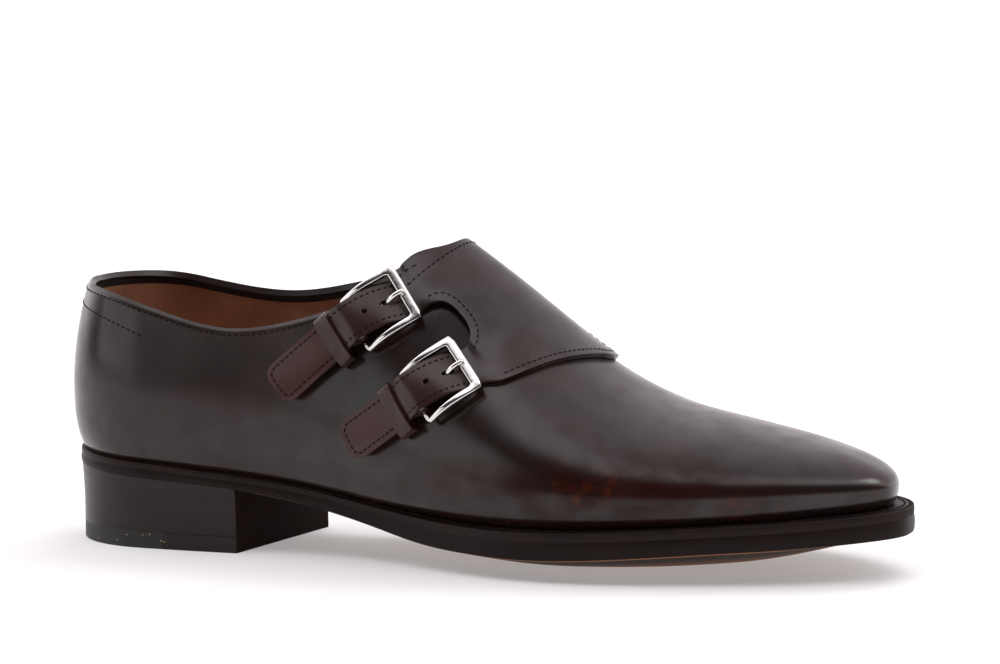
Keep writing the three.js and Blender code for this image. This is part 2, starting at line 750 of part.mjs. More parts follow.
/** The flap and its two straps, cut in one piece: the rows split at the keyhole between the straps. */
function makeFlapWithStraps() {
  const places = [];
  const cells = [];
  const add = (row) => row.map((place) => places.push(place) - 1);
  const joinRows = (before, after, holed = false) => {
    for (let j = 0; j < before.length - 1; j++) {
      const middle = j === (before.length - 2) / 2;
      if (!(holed && middle)) cells.push([before[j], after[j], after[j + 1], before[j + 1]]);
    }
  };
  const top = (row) => FLAP_EDGES.top(row);
  const front = (row) => FLAP_EDGES.front(row);
  const bodyRows = BODY_ROWS.map((row) => {
    const upper = flapRow(row, top(row), SLOT_CENTRE);
    return add([...upper, ...flapRow(row, SLOT_CENTRE, front(row)).slice(1)]);
  });
  bodyRows.slice(1).forEach((row, i) => joinRows(bodyRows[i], row));
  const bodyEnd = bodyRows[bodyRows.length - 1];
  const sides = [
    { strap: UPPER_STRAP, edges: (row) => [top(row), SLOT_CENTRE - slotHalf(row)] },
    { strap: LOWER_STRAP, edges: (row) => [SLOT_CENTRE + slotHalf(row), front(row)] },
  ];
  sides.forEach(({ strap: { line, tip }, edges }, i) => {
    const space = strapSpace(line);
    let before = bodyEnd.slice(i * HALF_COLUMNS, (i + 1) * HALF_COLUMNS + 1);
    for (const row of ROOT_ROWS) {
      const after = add(flapRow(row, ...edges(row)));
      joinRows(before, after);
      before = after;
    }
    const corner = steps(0, 1, 4).map((t) => tip - STRAP_CORNER * (1 - Math.sin((t * Math.PI) / 2)));
    const rest = steps(STRAP_ROWS[STRAP_ROWS.length - 1], tip - STRAP_CORNER, 6).slice(1);
    for (const s of [...STRAP_ROWS, ...rest, ...corner.slice(1)]) {
      const after = add(strapRow(space, s, tip));
      joinRows(before, after, HOLE_ENDS.includes(s));
      before = after;
    }
  });
  return thickSheet(places, cells);
}

/** A round or oval bar along a path of [s, w, h] places, with a radius at each place. */
function bar(space, path, sides = 8, ring = false) {
  const spots = path.map(([s, w, h]) => new THREE.Vector3(s, w, h));
  const rows = spots.map((spot, i) => {
    const before = spots[ring ? (i + spots.length - 1) % spots.length : Math.max(i - 1, 0)];
    const after = spots[ring ? (i + 1) % spots.length : Math.min(i + 1, spots.length - 1)];
    const ahead = after.clone().sub(before).normalize();
    const side = new THREE.Vector3(-ahead.y, ahead.x, 0);
    if (side.lengthSq() < 1e-6) side.set(0, 1, 0);
    side.normalize();
    const up = new THREE.Vector3().crossVectors(ahead, side).normalize();
    const [, , , wide, high] = path[i];
    return steps(0, 1, sides)
      .slice(0, -1)
      .map((t) => {
        const turn = (t + 0.5 / sides) * 2 * Math.PI;
        const p = spot.clone().addScaledVector(side, wide * Math.cos(turn));
        p.addScaledVector(up, high * Math.sin(turn));
        return space(p.x, p.y, p.z);
      });
  });
  return loft(rows, ring);
}

/** The buckle's frame: a flat front bar, two arms that thin and dip to the hinge, and the hinge bar. */
function makeFrame(space) {
  const half = (BUCKLE_OUTER_WIDTH - BUCKLE_SIDE_WIDTH) / 2;
  const corner = 1.6;
  const high = BUCKLE_THICKNESS / 2;
  const front = BUCKLE_FRONT_WIDTH / 2;
  const side = BUCKLE_SIDE_WIDTH / 2;
  const start = BUCKLE_FRONT_S + corner;
  const armPath = steps(start, HINGE_S - 0.6, 6).map((s) => {
    const t = (s - start) / (HINGE_S - 0.6 - start);
    const dip = 0.5 * Math.sin(Math.PI * t) + HINGE_H * t ** 3;
    return [s, dip, side + (HINGE_RADIUS * 1.1 - side) * t, high + (HINGE_RADIUS * 1.1 - high) * t];
  });
  const arm = (sign) => armPath.map(([s, h, wide, tall]) => [s, sign * half, h, wide, tall]);
  const hinge = steps(-half + 0.8, half - 0.8, 4).map((w) => [HINGE_S, w, HINGE_H, HINGE_RADIUS, HINGE_RADIUS]);
  const bend = (sign) => [BUCKLE_FRONT_S + 0.4, sign * (half - 0.4), 0, front * 0.95, high];
  const across = steps(half - corner, -half + corner, 3);
  const fronts = across.map((w) => [BUCKLE_FRONT_S, w, 0, front, high]);
  return bar(space, [...arm(-1), ...hinge, ...arm(1).reverse(), bend(1), ...fronts, bend(-1)], 8, true);
}

// The prong's path, as [s, h]: from the hinge up through the strap and over the front bar.
const PRONG_PATH = [
  [18.7, -2.4],
  [15, -1.7],
  [11.8, -1.1],
  [10, -0.4],
  [8, 0.5],
  [5.4, 1.6],
  [3, 2.2],
  [0.6, 2.25],
  [-1.1, 1.9],
];

function makeProng(space) {
  return bar(space, PRONG_PATH.map(([s, h]) => [s, 0, h, PRONG_RADIUS, PRONG_RADIUS]));
}

/** The tab that holds the buckle: sewn flat to the quarter, rolled round the hinge bar. */
function makeTab(space, rise) {
  const inner = HINGE_RADIUS + GAP;
  const outer = inner + TAB_THICKNESS;
  const turns = steps(0.08, 0.92, 9).map((t) => t * 2 * Math.PI);
  const flatRun = [TAB_END, 34, 30.8, 25.2, 24].map((s) => {
    const lift = THREE.MathUtils.smoothstep(s, 31, 36.5);
    return [s, THREE.MathUtils.lerp(TAB_LIFT, 0.6, lift)];
  });
  const centre = rise + HINGE_H;
  const roll = (radius) => turns.map((turn) => [HINGE_S + radius * Math.cos(turn), centre - radius * Math.sin(turn)]);
  const outline = [
    ...flatRun,
    ...roll(outer),
    ...roll(inner).reverse(),
    ...flatRun.map(([s, h]) => [s, h + TAB_THICKNESS]).reverse(),
  ];
  return { outline, width: TAB_WIDTH, space };
}

function extrudeAcross({ outline, width, space }) {
  const shape = new THREE.Shape(outline.map(([s, h]) => new THREE.Vector2(s, h)));
  const flat = new THREE.ExtrudeGeometry(shape, { depth: width, bevelEnabled: false, steps: 2 });
  const corners = flat.attributes.position;
  const points = Array.from({ length: corners.count }, (_, i) =>
    space(corners.getX(i), corners.getZ(i) - width / 2, corners.getY(i)),
  );
  return facesToSolid(points, points.map((_, i) => i));
}

/** The leather loop behind the buckle that holds the strap down. */
function makeKeeper(space) {
  const low = 0.95;
  const high = (s) => STRAP_RISE.h(s) + STRAP_THICKNESS + GAP + KEEPER_THICKNESS;
  const near = STRAP_WIDTH / 2 + GAP;
  const places = [KEEPER_S - KEEPER_LENGTH / 2, KEEPER_S, KEEPER_S + KEEPER_LENGTH / 2];
  const outline = (s, side, inset, lowInset) => {
    const across = steps(-near - side, near + KEEPER_SLACK + side, 4);
    const top = across.map((w) => space(s, w, high(s) - inset));
    return [...top, ...across.reverse().map((w) => space(s, w, low + lowInset))];
  };
  const outer = loft(places.map((s) => outline(s, KEEPER_SIDE, 0, 0)));
  const wider = [places[0] - 1, KEEPER_S, places[2] + 1];
  return outer.subtract(loft(wider.map((s) => outline(s, 0, KEEPER_THICKNESS, 0.8))));
}

// ---------------------------------------------------------------- the assembly

function mesh(name, solid, finish) {
  const [color, roughness, metalness] = COLOURS[finish];
  const piece = new THREE.Mesh(
    toGeometry(solid),
    new THREE.MeshStandardMaterial({ color, roughness, metalness }),
  );
  piece.name = name;
  return piece;
}

function addSole(group) {
  const ring = makeWeltRing();
  const rear = behindLine(RAND_END_X);
  const topPiece = makeTopPiece();
  const rubber = behindLine(RUBBER_X);
  group.add(mesh("outsole", makeOutsole(), "sole"));
  group.add(mesh("welt", ring.subtract(behindLine(RAND_END_X + GAP)), "edge"));
  group.add(mesh("heel_rand", ring.intersect(rear), "edge"));
  group.add(mesh("insole", makeInsole(), "lining"));
  group.add(mesh("heel_stack", makeHeelStack(), "heel"));
  group.add(mesh("heel_top_rubber", topPiece.intersect(rubber), "rubber"));
  group.add(mesh("heel_top_leather", topPiece.subtract(behindLine(RUBBER_X + GAP)), "heel"));
}

function addBuckle(group, name, { line, buckle }) {
  const strap = strapSpace(line);
  const stiff = buckleSpace(strap, buckle);
  const soft = tabSpace(strap, stiff, buckle.rise);
  const rollSlot = extrudeAcross({
    outline: [[HINGE_S - 4, -3], [HINGE_S + 3.1, -3], [HINGE_S + 3.1, 9], [HINGE_S - 4, 9]],
    width: PRONG_SLOT,
    space: soft,
  });
  group.add(mesh(`buckle_frame_${name}`, makeFrame(stiff), "nickel"));
  group.add(mesh(`buckle_prong_${name}`, makeProng(stiff), "nickel"));
  group.add(mesh(`buckle_tab_${name}`, extrudeAcross(makeTab(soft, buckle.rise)).subtract(rollSlot), "flap"));
  group.add(mesh(`strap_keeper_${name}`, makeKeeper(strap), "flap"));
}

const shoe = new THREE.Group();
addSole(shoe);
shoe.add(mesh("upper", makeUpper(), "upper"));
shoe.add(mesh("flap_with_straps", makeFlapWithStraps(), "flap"));
addBuckle(shoe, "upper", UPPER_STRAP);
addBuckle(shoe, "lower", LOWER_STRAP);

// The origin is the middle of the shoe's box, on the floor.
const box = new THREE.Box3().setFromObject(shoe);
shoe.position.set(-(box.min.x + box.max.x) / 2, -(box.min.y + box.max.y) / 2, -box.min.z);
export default shoe;
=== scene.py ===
# %% [markdown]
# # A double monk strap shoe
# This lesson dresses a right shoe whose solid pieces already exist. The pieces come in as a fixed frame, in
# metres, with the heel towards -X, the toe towards +X, the inner side towards +Y and the floor at Z = 0.
# Every visible piece is either a finer one that stands for a solid, or the solid itself with a better finish.

import math
from contextlib import contextmanager

import bpy
import numpy as np
from mathutils import Matrix, Vector


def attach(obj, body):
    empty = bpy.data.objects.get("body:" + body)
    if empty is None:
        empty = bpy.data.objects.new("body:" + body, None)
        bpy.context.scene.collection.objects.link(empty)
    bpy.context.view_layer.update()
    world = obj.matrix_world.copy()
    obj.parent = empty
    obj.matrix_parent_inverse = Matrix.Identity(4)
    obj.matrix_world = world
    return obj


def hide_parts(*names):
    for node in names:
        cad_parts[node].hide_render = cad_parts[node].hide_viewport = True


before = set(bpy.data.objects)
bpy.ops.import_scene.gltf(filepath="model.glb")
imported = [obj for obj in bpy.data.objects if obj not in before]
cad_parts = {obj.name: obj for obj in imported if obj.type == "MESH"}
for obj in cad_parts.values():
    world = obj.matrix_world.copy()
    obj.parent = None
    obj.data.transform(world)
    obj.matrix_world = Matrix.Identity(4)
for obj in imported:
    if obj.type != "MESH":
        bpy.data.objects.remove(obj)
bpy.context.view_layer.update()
print("solids:", len(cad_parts))

# %% [markdown]
# ## Camera and stage
# A shoe is shown from its outer side, turned a little to the toe, from just above the floor, with a long
# lens so that its lines stay true. The stage is one pale floor under a soft overhead box, as in a light
# tent, because polished leather is only as good as what it mirrors.

# %% Camera
AZIMUTH, ELEVATION, ROLL = (math.radians(a) for a in (23.4, 8.2, 0.8))
DISTANCE = 2.2
TARGET = Vector((0.00558, 0.000165, 0.0754))
LENS = 235.4

def camera_axes(azimuth, elevation, roll):
    """The camera's right, up and backward directions."""
    level = math.cos(elevation)
    back = Vector((math.sin(azimuth) * level, -math.cos(azimuth) * level, math.sin(elevation)))
    right = Vector((math.cos(azimuth), math.sin(azimuth), 0))
    up = back.cross(right)
    return right * math.cos(roll) - up * math.sin(roll), up * math.cos(roll) + right * math.sin(roll), back

right, up, back = camera_axes(AZIMUTH, ELEVATION, ROLL)
lens = bpy.data.cameras.new("camera")
lens.lens = LENS
lens.clip_end = 50
camera = bpy.data.objects.new("camera", lens)
turned = Matrix((right, up, back)).transposed().to_4x4()
camera.matrix_world = Matrix.Translation(TARGET + back * DISTANCE) @ turned
bpy.context.collection.objects.link(camera)
bpy.context.scene.camera = camera
bpy.context.scene.view_settings.view_transform = "Standard"
print("camera at", [round(c, 3) for c in camera.location])

# %% [markdown]
# The stage is one wide floor that the camera sees to the top of its view, so it is the backdrop too. A
# sky that is bright overhead and dim near the horizon is the soft tent, and a few large lamps lay the long
# soft streaks that show the leather's shape.

# %% Floor and sky
TENT_STRENGTH = 2.1
TENT_TINT = (1.0, 0.94, 0.96)

bpy.ops.object.select_all(action="DESELECT")
bpy.ops.mesh.primitive_plane_add(size=24, location=(0, 4, 0))
floor = bpy.context.object
floor.name = "floor"

def light_tent(bands, crown):
    """A sky in bands of light round the tent's crown, its brightest direction."""
    world = bpy.data.worlds.new("tent")
    world.use_nodes = True
    bpy.context.scene.world = world
    sky = world.node_tree
    place = sky.nodes.new("ShaderNodeTexCoord")
    facing = sky.nodes.new("ShaderNodeVectorMath")
    facing.operation = "DOT_PRODUCT"
    facing.inputs[1].default_value = Vector(crown).normalized()
    ramp = sky.nodes.new("ShaderNodeValToRGB")
    stops = ramp.color_ramp.elements
    stops.remove(stops[1])
    for height, _ in bands[1:]:
        stops.new(height)
    for stop, (height, light) in zip(stops, bands):
        stop.position = height
        stop.color = (*(light * tint for tint in TENT_TINT), 1)
    background = sky.nodes["Background"]
    background.inputs["Strength"].default_value = TENT_STRENGTH
    sky.links.new(place.outputs["Generated"], facing.inputs[0])
    sky.links.new(facing.outputs["Value"], ramp.inputs["Fac"])
    sky.links.new(ramp.outputs["Color"], background.inputs["Color"])

light_tent(
    bands=[(0.0, 0.017), (0.15, 0.045), (0.31, 0.95), (0.5, 0.97), (0.7, 0.49), (1.0, 0.5)],
    crown=(-0.1, 0.62, 0.78),
)

# %% Lamps
def softbox(name, place, aim, size, power, lights_floor=True):
    """A square lamp at a place, turned to face its aim. It may show only as a gleam on the leather."""
    lamp = bpy.data.lights.new(name, "AREA")
    lamp.shape, lamp.size, lamp.size_y, lamp.energy = "RECTANGLE", size[0], size[1], power
    holder = bpy.data.objects.new(name, lamp)
    towards = Vector(aim) - Vector(place)
    holder.matrix_world = Matrix.Translation(place) @ towards.to_track_quat("-Z", "Y").to_matrix().to_4x4()
    holder.visible_diffuse = lights_floor
    holder.visible_glossy = not lights_floor
    bpy.context.collection.objects.link(holder)

softbox("overhead box", (0.1, 1.0, 1.5), (0, 0, 0), (1.2, 0.9), 12)
softbox("heel box", (-1.35, -1.05, 0.5), (-0.1, 0, 0.05), (1.5, 0.8), 4.5, lights_floor=False)
softbox("toe box", (1.1, 0.1, 1.1), (0.12, 0, 0.05), (0.5, 0.5), 4, lights_floor=False)
print("lamps:", len(bpy.data.lights))

# %% [markdown]
# ## Small helpers for modelling
# Each piece starts as a primitive at its place, and operators and modifiers shape it. An operator acts on
# everything that is selected, so the helpers below always deselect first.

# %% Modelling helpers
MM = 0.001

def alone(piece):
    """Select one object and nothing else."""
    if bpy.context.object and bpy.context.object.mode != "OBJECT":
        bpy.ops.object.mode_set(mode="OBJECT")
    bpy.ops.object.select_all(action="DESELECT")
    piece.select_set(True)
    bpy.context.view_layer.objects.active = piece
    return piece

def apply_modifier(piece, kind, **settings):
    """Add a modifier with its settings and apply it."""
    alone(piece)
    modifier = piece.modifiers.new(kind.title(), kind)
    for key, value in settings.items():
        setattr(modifier, key, value)
    bpy.ops.object.modifier_apply(modifier=modifier.name)
    return piece

def soften(piece, width, segments, degrees):
    """Round the edges that are sharper than an angle; the width is in mm."""
    sharp = math.radians(degrees)
    return apply_modifier(
        piece, "BEVEL", width=width * MM, segments=segments, limit_method="ANGLE", angle_limit=sharp
    )

@contextmanager
def editing(piece):
    """Edit mode on one piece, with all of it selected."""
    alone(piece)
    bpy.ops.object.mode_set(mode="EDIT")
    bpy.ops.mesh.select_all(action="SELECT")
    yield
    bpy.ops.object.mode_set(mode="OBJECT")

def weld(piece, distance=0.02 * MM, recalculate=False):
    """Merge points that lie on each other and, if asked, turn all faces outwards."""
    with editing(piece):
        bpy.ops.mesh.remove_doubles(threshold=distance)
        if recalculate:
            bpy.ops.mesh.normals_make_consistent(inside=False)
    return piece

def cut_sheet(name, columns, rows):
    """A flat grid one unit wide, and each corner's share of the way across (u) and up (v)."""
    bpy.ops.object.select_all(action="DESELECT")
    bpy.ops.mesh.primitive_grid_add(x_subdivisions=columns, y_subdivisions=rows, size=1, location=(0, 0, 0))
    sheet = bpy.context.object
    sheet.name = sheet.data.name = name
    corners = points_of(sheet)
    return sheet, corners[:, 0] + 0.5, corners[:, 1] + 0.5

def points_of(piece):
    """A piece's points, in metres."""
    flat = np.zeros(len(piece.data.vertices) * 3)
    piece.data.vertices.foreach_get("co", flat)
    return flat.reshape(-1, 3)

def lay(piece, places):
    """Move a sheet's points to places given in millimetres."""
    piece.data.vertices.foreach_set("co", (np.asarray(places) * MM).ravel())
    piece.data.update()
    return piece

def mark(piece, name, values):
    """Store a number on each point, for the finish to read."""
    layer = piece.data.attributes.new(name, "FLOAT", "POINT")
    layer.data.foreach_set("value", np.asarray(values, dtype=np.float32))

def smooth(piece, degrees=40):
    alone(piece)
    bpy.ops.object.shade_smooth_by_angle(angle=math.radians(degrees))
    return piece

def face_out(piece):
    """Turn a skin over if its faces look into the foot."""
    highest = max(piece.data.polygons, key=lambda face: face.center.z)
    if highest.normal.z < 0:
        with editing(piece):
            bpy.ops.mesh.flip_normals()
    return piece

# %% [markdown]
# ## Writing finishes
# A finish is a set of nodes. Two small classes keep them readable: Value wraps a socket, so a sum written on
# it adds the Math nodes, and Finish adds any other node by its type, its settings and what goes into it.

# %% The finish builder
class Value:
    """A socket's value, which takes part in sums as a number does."""

    def __init__(self, finish, socket):
        self.finish, self.socket = finish, socket

    def sum(self, operation, *values):
        return self.finish.node("ShaderNodeMath", {"operation": operation}, dict(enumerate(values)))

    def __add__(self, other):
        return self.sum("ADD", self, other)

    def __sub__(self, other):
        return self.sum("SUBTRACT", self, other)

    def __rsub__(self, other):
        return self.sum("SUBTRACT", other, self)

    def __mul__(self, other):
        return self.sum("MULTIPLY", self, other)

    def __pow__(self, power):
        return self.sum("POWER", self, power)

    __radd__, __rmul__ = __add__, __mul__

    def least(self, other):
        return self.sum("MINIMUM", self, other)

    def most(self, other):
        return self.sum("MAXIMUM", self, other)

    def ease(self, low, high):
        """0 below low, 1 above high, and smooth between; low may be the greater one."""
        settings = {"interpolation_type": "SMOOTHSTEP"}
        inputs = {"Value": self, "From Min": low, "From Max": high}
        return self.finish.node("ShaderNodeMapRange", settings, inputs)

class Finish:
    """A finish being built, node by node."""

    def __init__(self, name):
        self.material = bpy.data.materials.new(name)
        self.material.use_nodes = True
        self.tree = self.material.node_tree
        self.tree.nodes.clear()
        self.place = self.node("ShaderNodeTexCoord", out="Object")

    def node(self, kind, settings=None, inputs=None, out=0):
        made = self.tree.nodes.new(kind)
        for key, value in (settings or {}).items():
            setattr(made, key, value)
        for key, value in (inputs or {}).items():
            self.put(made.inputs[key], value)
        return Value(self, made.outputs[out])

    def put(self, socket, value):
        if isinstance(value, Value):
            self.tree.links.new(value.socket, socket)
        elif socket.type == "RGBA":
            socket.default_value = (*value[:3], 1)
        else:
            socket.default_value = value

    def noise(self, size, detail=2.0, stretch=(1, 1, 1), roughness=0.5):
        """Clouds about as large as the size in mm, longer by the stretch."""
        scale = tuple(1 / s for s in stretch)
        place = self.node("ShaderNodeMapping", {}, {"Vector": self.place, "Scale": scale})
        inputs = {"Vector": place, "Scale": 1000 / size, "Detail": detail, "Roughness": roughness}
        return self.node("ShaderNodeTexNoise", {}, inputs)

    def mix(self, share, low, high):
        """Mix two colours."""
        made = self.node("ShaderNodeMix", {"data_type": "RGBA"}, {0: share}, out=2)
        node = made.socket.node
        self.put(node.inputs[6], low)
        self.put(node.inputs[7], high)
        return made

    def near(self, centre, size):
        """1 at a place, fading to 0 at the given distances from it, in mm."""
        scale = tuple(1000 / s for s in size)
        location = tuple(-c / s for c, s in zip(centre, size))
        inputs = {"Vector": self.place, "Scale": scale, "Location": location}
        place = self.node("ShaderNodeMapping", {}, inputs)
        far = self.node("ShaderNodeVectorMath", {"operation": "LENGTH"}, {0: place}, out="Value")
        return far.ease(1, 0)

    def bump(self, height, distance, strength=1.0, normal=None):
        """Relief: a height of one stands as high as the distance, in mm."""
        inputs = {"Height": height, "Distance": distance * MM, "Strength": strength}
        if normal:
            inputs["Normal"] = normal
        return self.node("ShaderNodeBump", {}, inputs)

    def paint(self, **inputs):
        """Finish with the main shader; the names are its sockets, with _ for a space."""
        shader = self.tree.nodes.new("ShaderNodeBsdfPrincipled")
        for key, value in inputs.items():
            self.put(shader.inputs[key.replace("_", " ")], value)
        made = self.tree.nodes.new("ShaderNodeOutputMaterial")
        self.tree.links.new(shader.outputs[0], made.inputs["Surface"])
        return self.material

def srgb(red, green, blue):
    """A colour as a swatch book gives it, 0 to 255, in linear light."""
    return tuple(((c / 255 + 0.055) / 1.055) ** 2.4 if c > 10 else c / 3295 for c in (red, green, blue))

print("finish builder ready")

# %% [markdown]
# ## Burnished calf
# The leather is calf, dyed brown and polished with dark wax. It isn't one colour: clouds of red show through
# low on the outer side. The gloss has two layers, a soft one from the hide and a harder one from the wax, and
# the grain is so fine that it only breaks the edges of the reflections.

# %% Leather for the upper
def calf(name, dark, brown, red, dry_brown):
    """Burnished calf. The attribute dry is 1 where the leather has had less wax, as on the straps. The
    attribute under_flap is 1 round the keyhole, where shade is painted in.
    """
    hide = Finish(name)
    dry = hide.node("ShaderNodeAttribute", {"attribute_name": "dry"}, {}, out="Fac")
    cloud = hide.noise(26, 3, (1.7, 1, 0.8)).ease(0.34, 0.68)
    speckle = hide.noise(4.5, 4, (1, 1, 1), 0.65)
    body = hide.mix(cloud * 0.75 + speckle * 0.25, dark, brown)
    low_side = hide.near((62, -38, 30), (84, 26, 15)) ** 0.5
    inner_side = hide.near((56, 42, 30), (84, 26, 15)) ** 0.5
    heel_side = hide.near((-88, -34, 47), (46, 20, 22)) * 0.3
    patchy = hide.noise(11, 3, (1.3, 1, 0.8)).ease(0.3, 0.72) * 0.7 + 0.3
    warm = (low_side.most(inner_side) + heel_side) * patchy
    warmed = hide.mix(warm, body, red)
    ember = hide.near((53, -43, 31), (22, 16, 11)).most(hide.near((108, -34, 26), (16, 14, 7)) * 0.6)
    ember = ember * hide.noise(7, 4, (1.2, 1, 1), 0.6).ease(0.42, 0.7)
    warmed = hide.mix(ember * 0.85, warmed, srgb(104, 38, 10))
    warmed = hide.mix(dry * (speckle * 0.4 + 0.6), warmed, dry_brown)
    # Painted shade: round the keyhole the upper is darkened to near black and loses most of its wax gloss,
    # standing in for the shadow inside the keyhole.
    covered = hide.node("ShaderNodeAttribute", {"attribute_name": "under_flap"}, {}, out="Fac")
    warmed = hide.mix(covered * 0.6, warmed, srgb(14, 8, 8))
    grain = hide.noise(0.55, 2, (1, 1, 1), 0.6)
    pores = hide.noise(1.6, 3, (1, 1, 1), 0.5)
    waves = hide.noise(17, 1.5, (1, 1, 1), 0.4)
    relief = hide.bump(grain * 0.35 + pores * 0.65, 0.012)
    relief = hide.bump(waves, 0.22, 1.0, relief)
    worn = hide.noise(9, 3).ease(0.3, 0.75)
    wax = (0.95 - worn * 0.2) * (1 - warm.least(1.0) * 0.92) * (1 - dry * 0.5)
    return hide.paint(
        Base_Color=warmed,
        Roughness=worn * 0.07 + speckle * 0.05 + dry * 0.06 + 0.36,
        Normal=relief,
        Specular_IOR_Level=0.03,
        Coat_Weight=wax * (1 - covered * 0.75),
        Coat_Roughness=0.22,
        Coat_IOR=1.52,
    )

CALF = calf(
    "burnished_calf",
    dark=srgb(26, 15, 14),
    brown=srgb(42, 23, 21),
    red=srgb(38, 10, 5),
    dry_brown=srgb(73, 48, 45),
)

# %% Leather for the lining and the thread
def lining_calf():
    """Natural leather, with a dark binding along the collar's edge."""
    hide = Finish("lining_calf")
    cloud = hide.noise(15, 4).ease(0.3, 0.7)
    pores = hide.noise(0.7, 3)
    colour = hide.mix(cloud, srgb(146, 102, 78), srgb(168, 124, 97))
    below = hide.node("ShaderNodeAttribute", {"attribute_name": "below_collar"}, {}, out="Fac")
    colour = hide.mix(below.ease(3.9, 4.2), srgb(24, 17, 16), colour)
    relief = hide.bump(pores, 0.03)
    return hide.paint(Base_Color=colour, Roughness=0.62, Normal=relief, Specular_IOR_Level=0.3)

def waxed_thread():
    thread = Finish("waxed_thread")
    twist = thread.noise(0.5, 2)
    colour = thread.mix(twist, srgb(14, 8, 8), srgb(26, 15, 14))
    relief = thread.bump(twist, 0.03)
    return thread.paint(Base_Color=colour, Roughness=0.75, Normal=relief, Specular_IOR_Level=0.12)

LINING, THREAD = lining_calf(), waxed_thread()
print("leathers:", CALF.name, LINING.name)

# %% [markdown]
# ## Metal, sole and heel finishes
# The buckles are cast, plated and polished, so they mirror the room, with faint polishing marks. The edges
# of the sole and heel are inked black and burnished with hot irons: the wheel leaves fine upright marks, and
# the wax has a dull shine. Underneath, the sole keeps the tan of bare leather, except for a band near its
# edge that is darkened as painted shade for the shadow between sole and floor.

# %% Polished metal
def polished_metal():
    metal = Finish("polished_nickel")
    marks = metal.noise(0.5, 3, (6, 1, 1))
    waves = metal.noise(4, 2)
    return metal.paint(
        Base_Color=metal.mix(marks, srgb(214, 212, 210), srgb(232, 230, 228)),
        Metallic=1.0,
        Roughness=marks * 0.05 + 0.07,
        Normal=metal.bump(waves, 0.05),
    )

# %% Inked edges and bare sole leather
def inked_edge(name, shine=0.42, marks=0.5, wax=0.0):
    """Inked and ironed leather. Wax gleams, but not on the heel's front, which the iron doesn't reach."""
    edge = Finish(name)
    facing = edge.node("ShaderNodeNewGeometry", {}, {}, out="Normal")
    ahead = edge.node("ShaderNodeSeparateXYZ", {}, {0: facing}, out="X").ease(0.9, 0.97)
    cloud = edge.noise(9, 4, (2, 2, 0.6)).ease(0.3, 0.7)
    fibre = edge.noise(1.2, 3, (3, 3, 0.25))
    wheel = edge.noise(0.6, 1, (1, 1, 9))
    colour = edge.mix(cloud, srgb(21, 10, 9), srgb(34, 20, 18))
    relief = edge.bump(wheel * marks + fibre * 0.5, 0.05)
    return edge.paint(
        Base_Color=colour,
        Roughness=cloud * 0.14 + shine + ahead * 0.2,
        Normal=relief,
        Specular_IOR_Level=0.17 if not wax else 0.06,
        Coat_Weight=(1 - ahead) * wax,
        Coat_Roughness=0.3,
        Coat_IOR=1.45,
    )

def sole_leather():
    """Black at the edge and tan underneath, except for a band from about 2 to 24 mm in from the edge,
    darkened as painted shade; a thin tan line stays at the very edge.
    """
    sole = Finish("sole_leather")
    facing = sole.node("ShaderNodeNewGeometry", {}, {}, out="Normal")
    down = sole.node("ShaderNodeSeparateXYZ", {}, {0: facing}, out="Z").ease(-0.62, -0.86)
    down = down * sole.node("ShaderNodeSeparateXYZ", {}, {0: sole.place}, out="X").ease(-0.078, -0.074)
    rim = sole.node("ShaderNodeAttribute", {"attribute_name": "from_edge"}, {}, out="Fac")
    cloud = sole.noise(22, 4).ease(0.3, 0.7)
    fibre = sole.noise(0.9, 4, (2, 1, 1))
    tan = sole.mix(cloud * 0.6 + fibre * 0.4, srgb(118, 76, 48), srgb(148, 100, 66))
    # Painted shade: the underside is dark brown from about 2 mm in from the edge, darkest up to 6 mm and tan
    # again by 24 mm, for the shadow between the sole and the floor.
    tan = sole.mix(rim.ease(6, 24).most(rim.ease(1.9, 1.4)), srgb(34, 24, 19), tan)
    ink = sole.mix(sole.noise(9, 4, (2, 2, 0.6)), srgb(19, 10, 9), srgb(32, 20, 18))
    relief = sole.bump(sole.noise(0.6, 1, (1, 1, 9)) * 0.5 + fibre * 0.5, 0.05)
    return sole.paint(
        Base_Color=sole.mix(down, ink, tan),
        Roughness=down * 0.12 + sole.noise(6, 3) * 0.1 + 0.4,
        Normal=relief,
        Specular_IOR_Level=0.13,
    )

def heel_rubber():
    rubber = Finish("heel_rubber")
    grain = rubber.noise(0.4, 3)
    colour = rubber.mix(grain, srgb(19, 18, 19), srgb(28, 27, 28))
    return rubber.paint(Base_Color=colour, Roughness=0.6, Normal=rubber.bump(grain, 0.04))

def brass():
    pin = Finish("brass_pin")
    tarnish = pin.noise(0.8, 3)
    colour = pin.mix(tarnish, srgb(150, 122, 70), srgb(196, 168, 110))
    return pin.paint(Base_Color=colour, Metallic=1.0, Roughness=0.35)

METAL, EDGE_INK = polished_metal(), inked_edge("inked_edge")
HEEL_INK = inked_edge("inked_heel", shine=0.5, marks=0.25, wax=0.6)
SOLE, RUBBER, BRASS = sole_leather(), heel_rubber(), brass()
print("hard finishes:", METAL.name, EDGE_INK.name, SOLE.name, RUBBER.name, BRASS.name)

# %% [markdown]
# ## The last
# A shoe's leather takes its shape from the last, the wooden foot it is pulled over. Modelling the last as a
# function is the surest way to that shape: short tables say how wide and high it is along the foot, a
# spline runs through each column, and every leather piece is then laid on it as a maker would.

# %% Tables and sums
SHIFT = np.array((-151.8205, 0.1652, 0.0))  # from the tables' frame, which starts at the heel, in mm

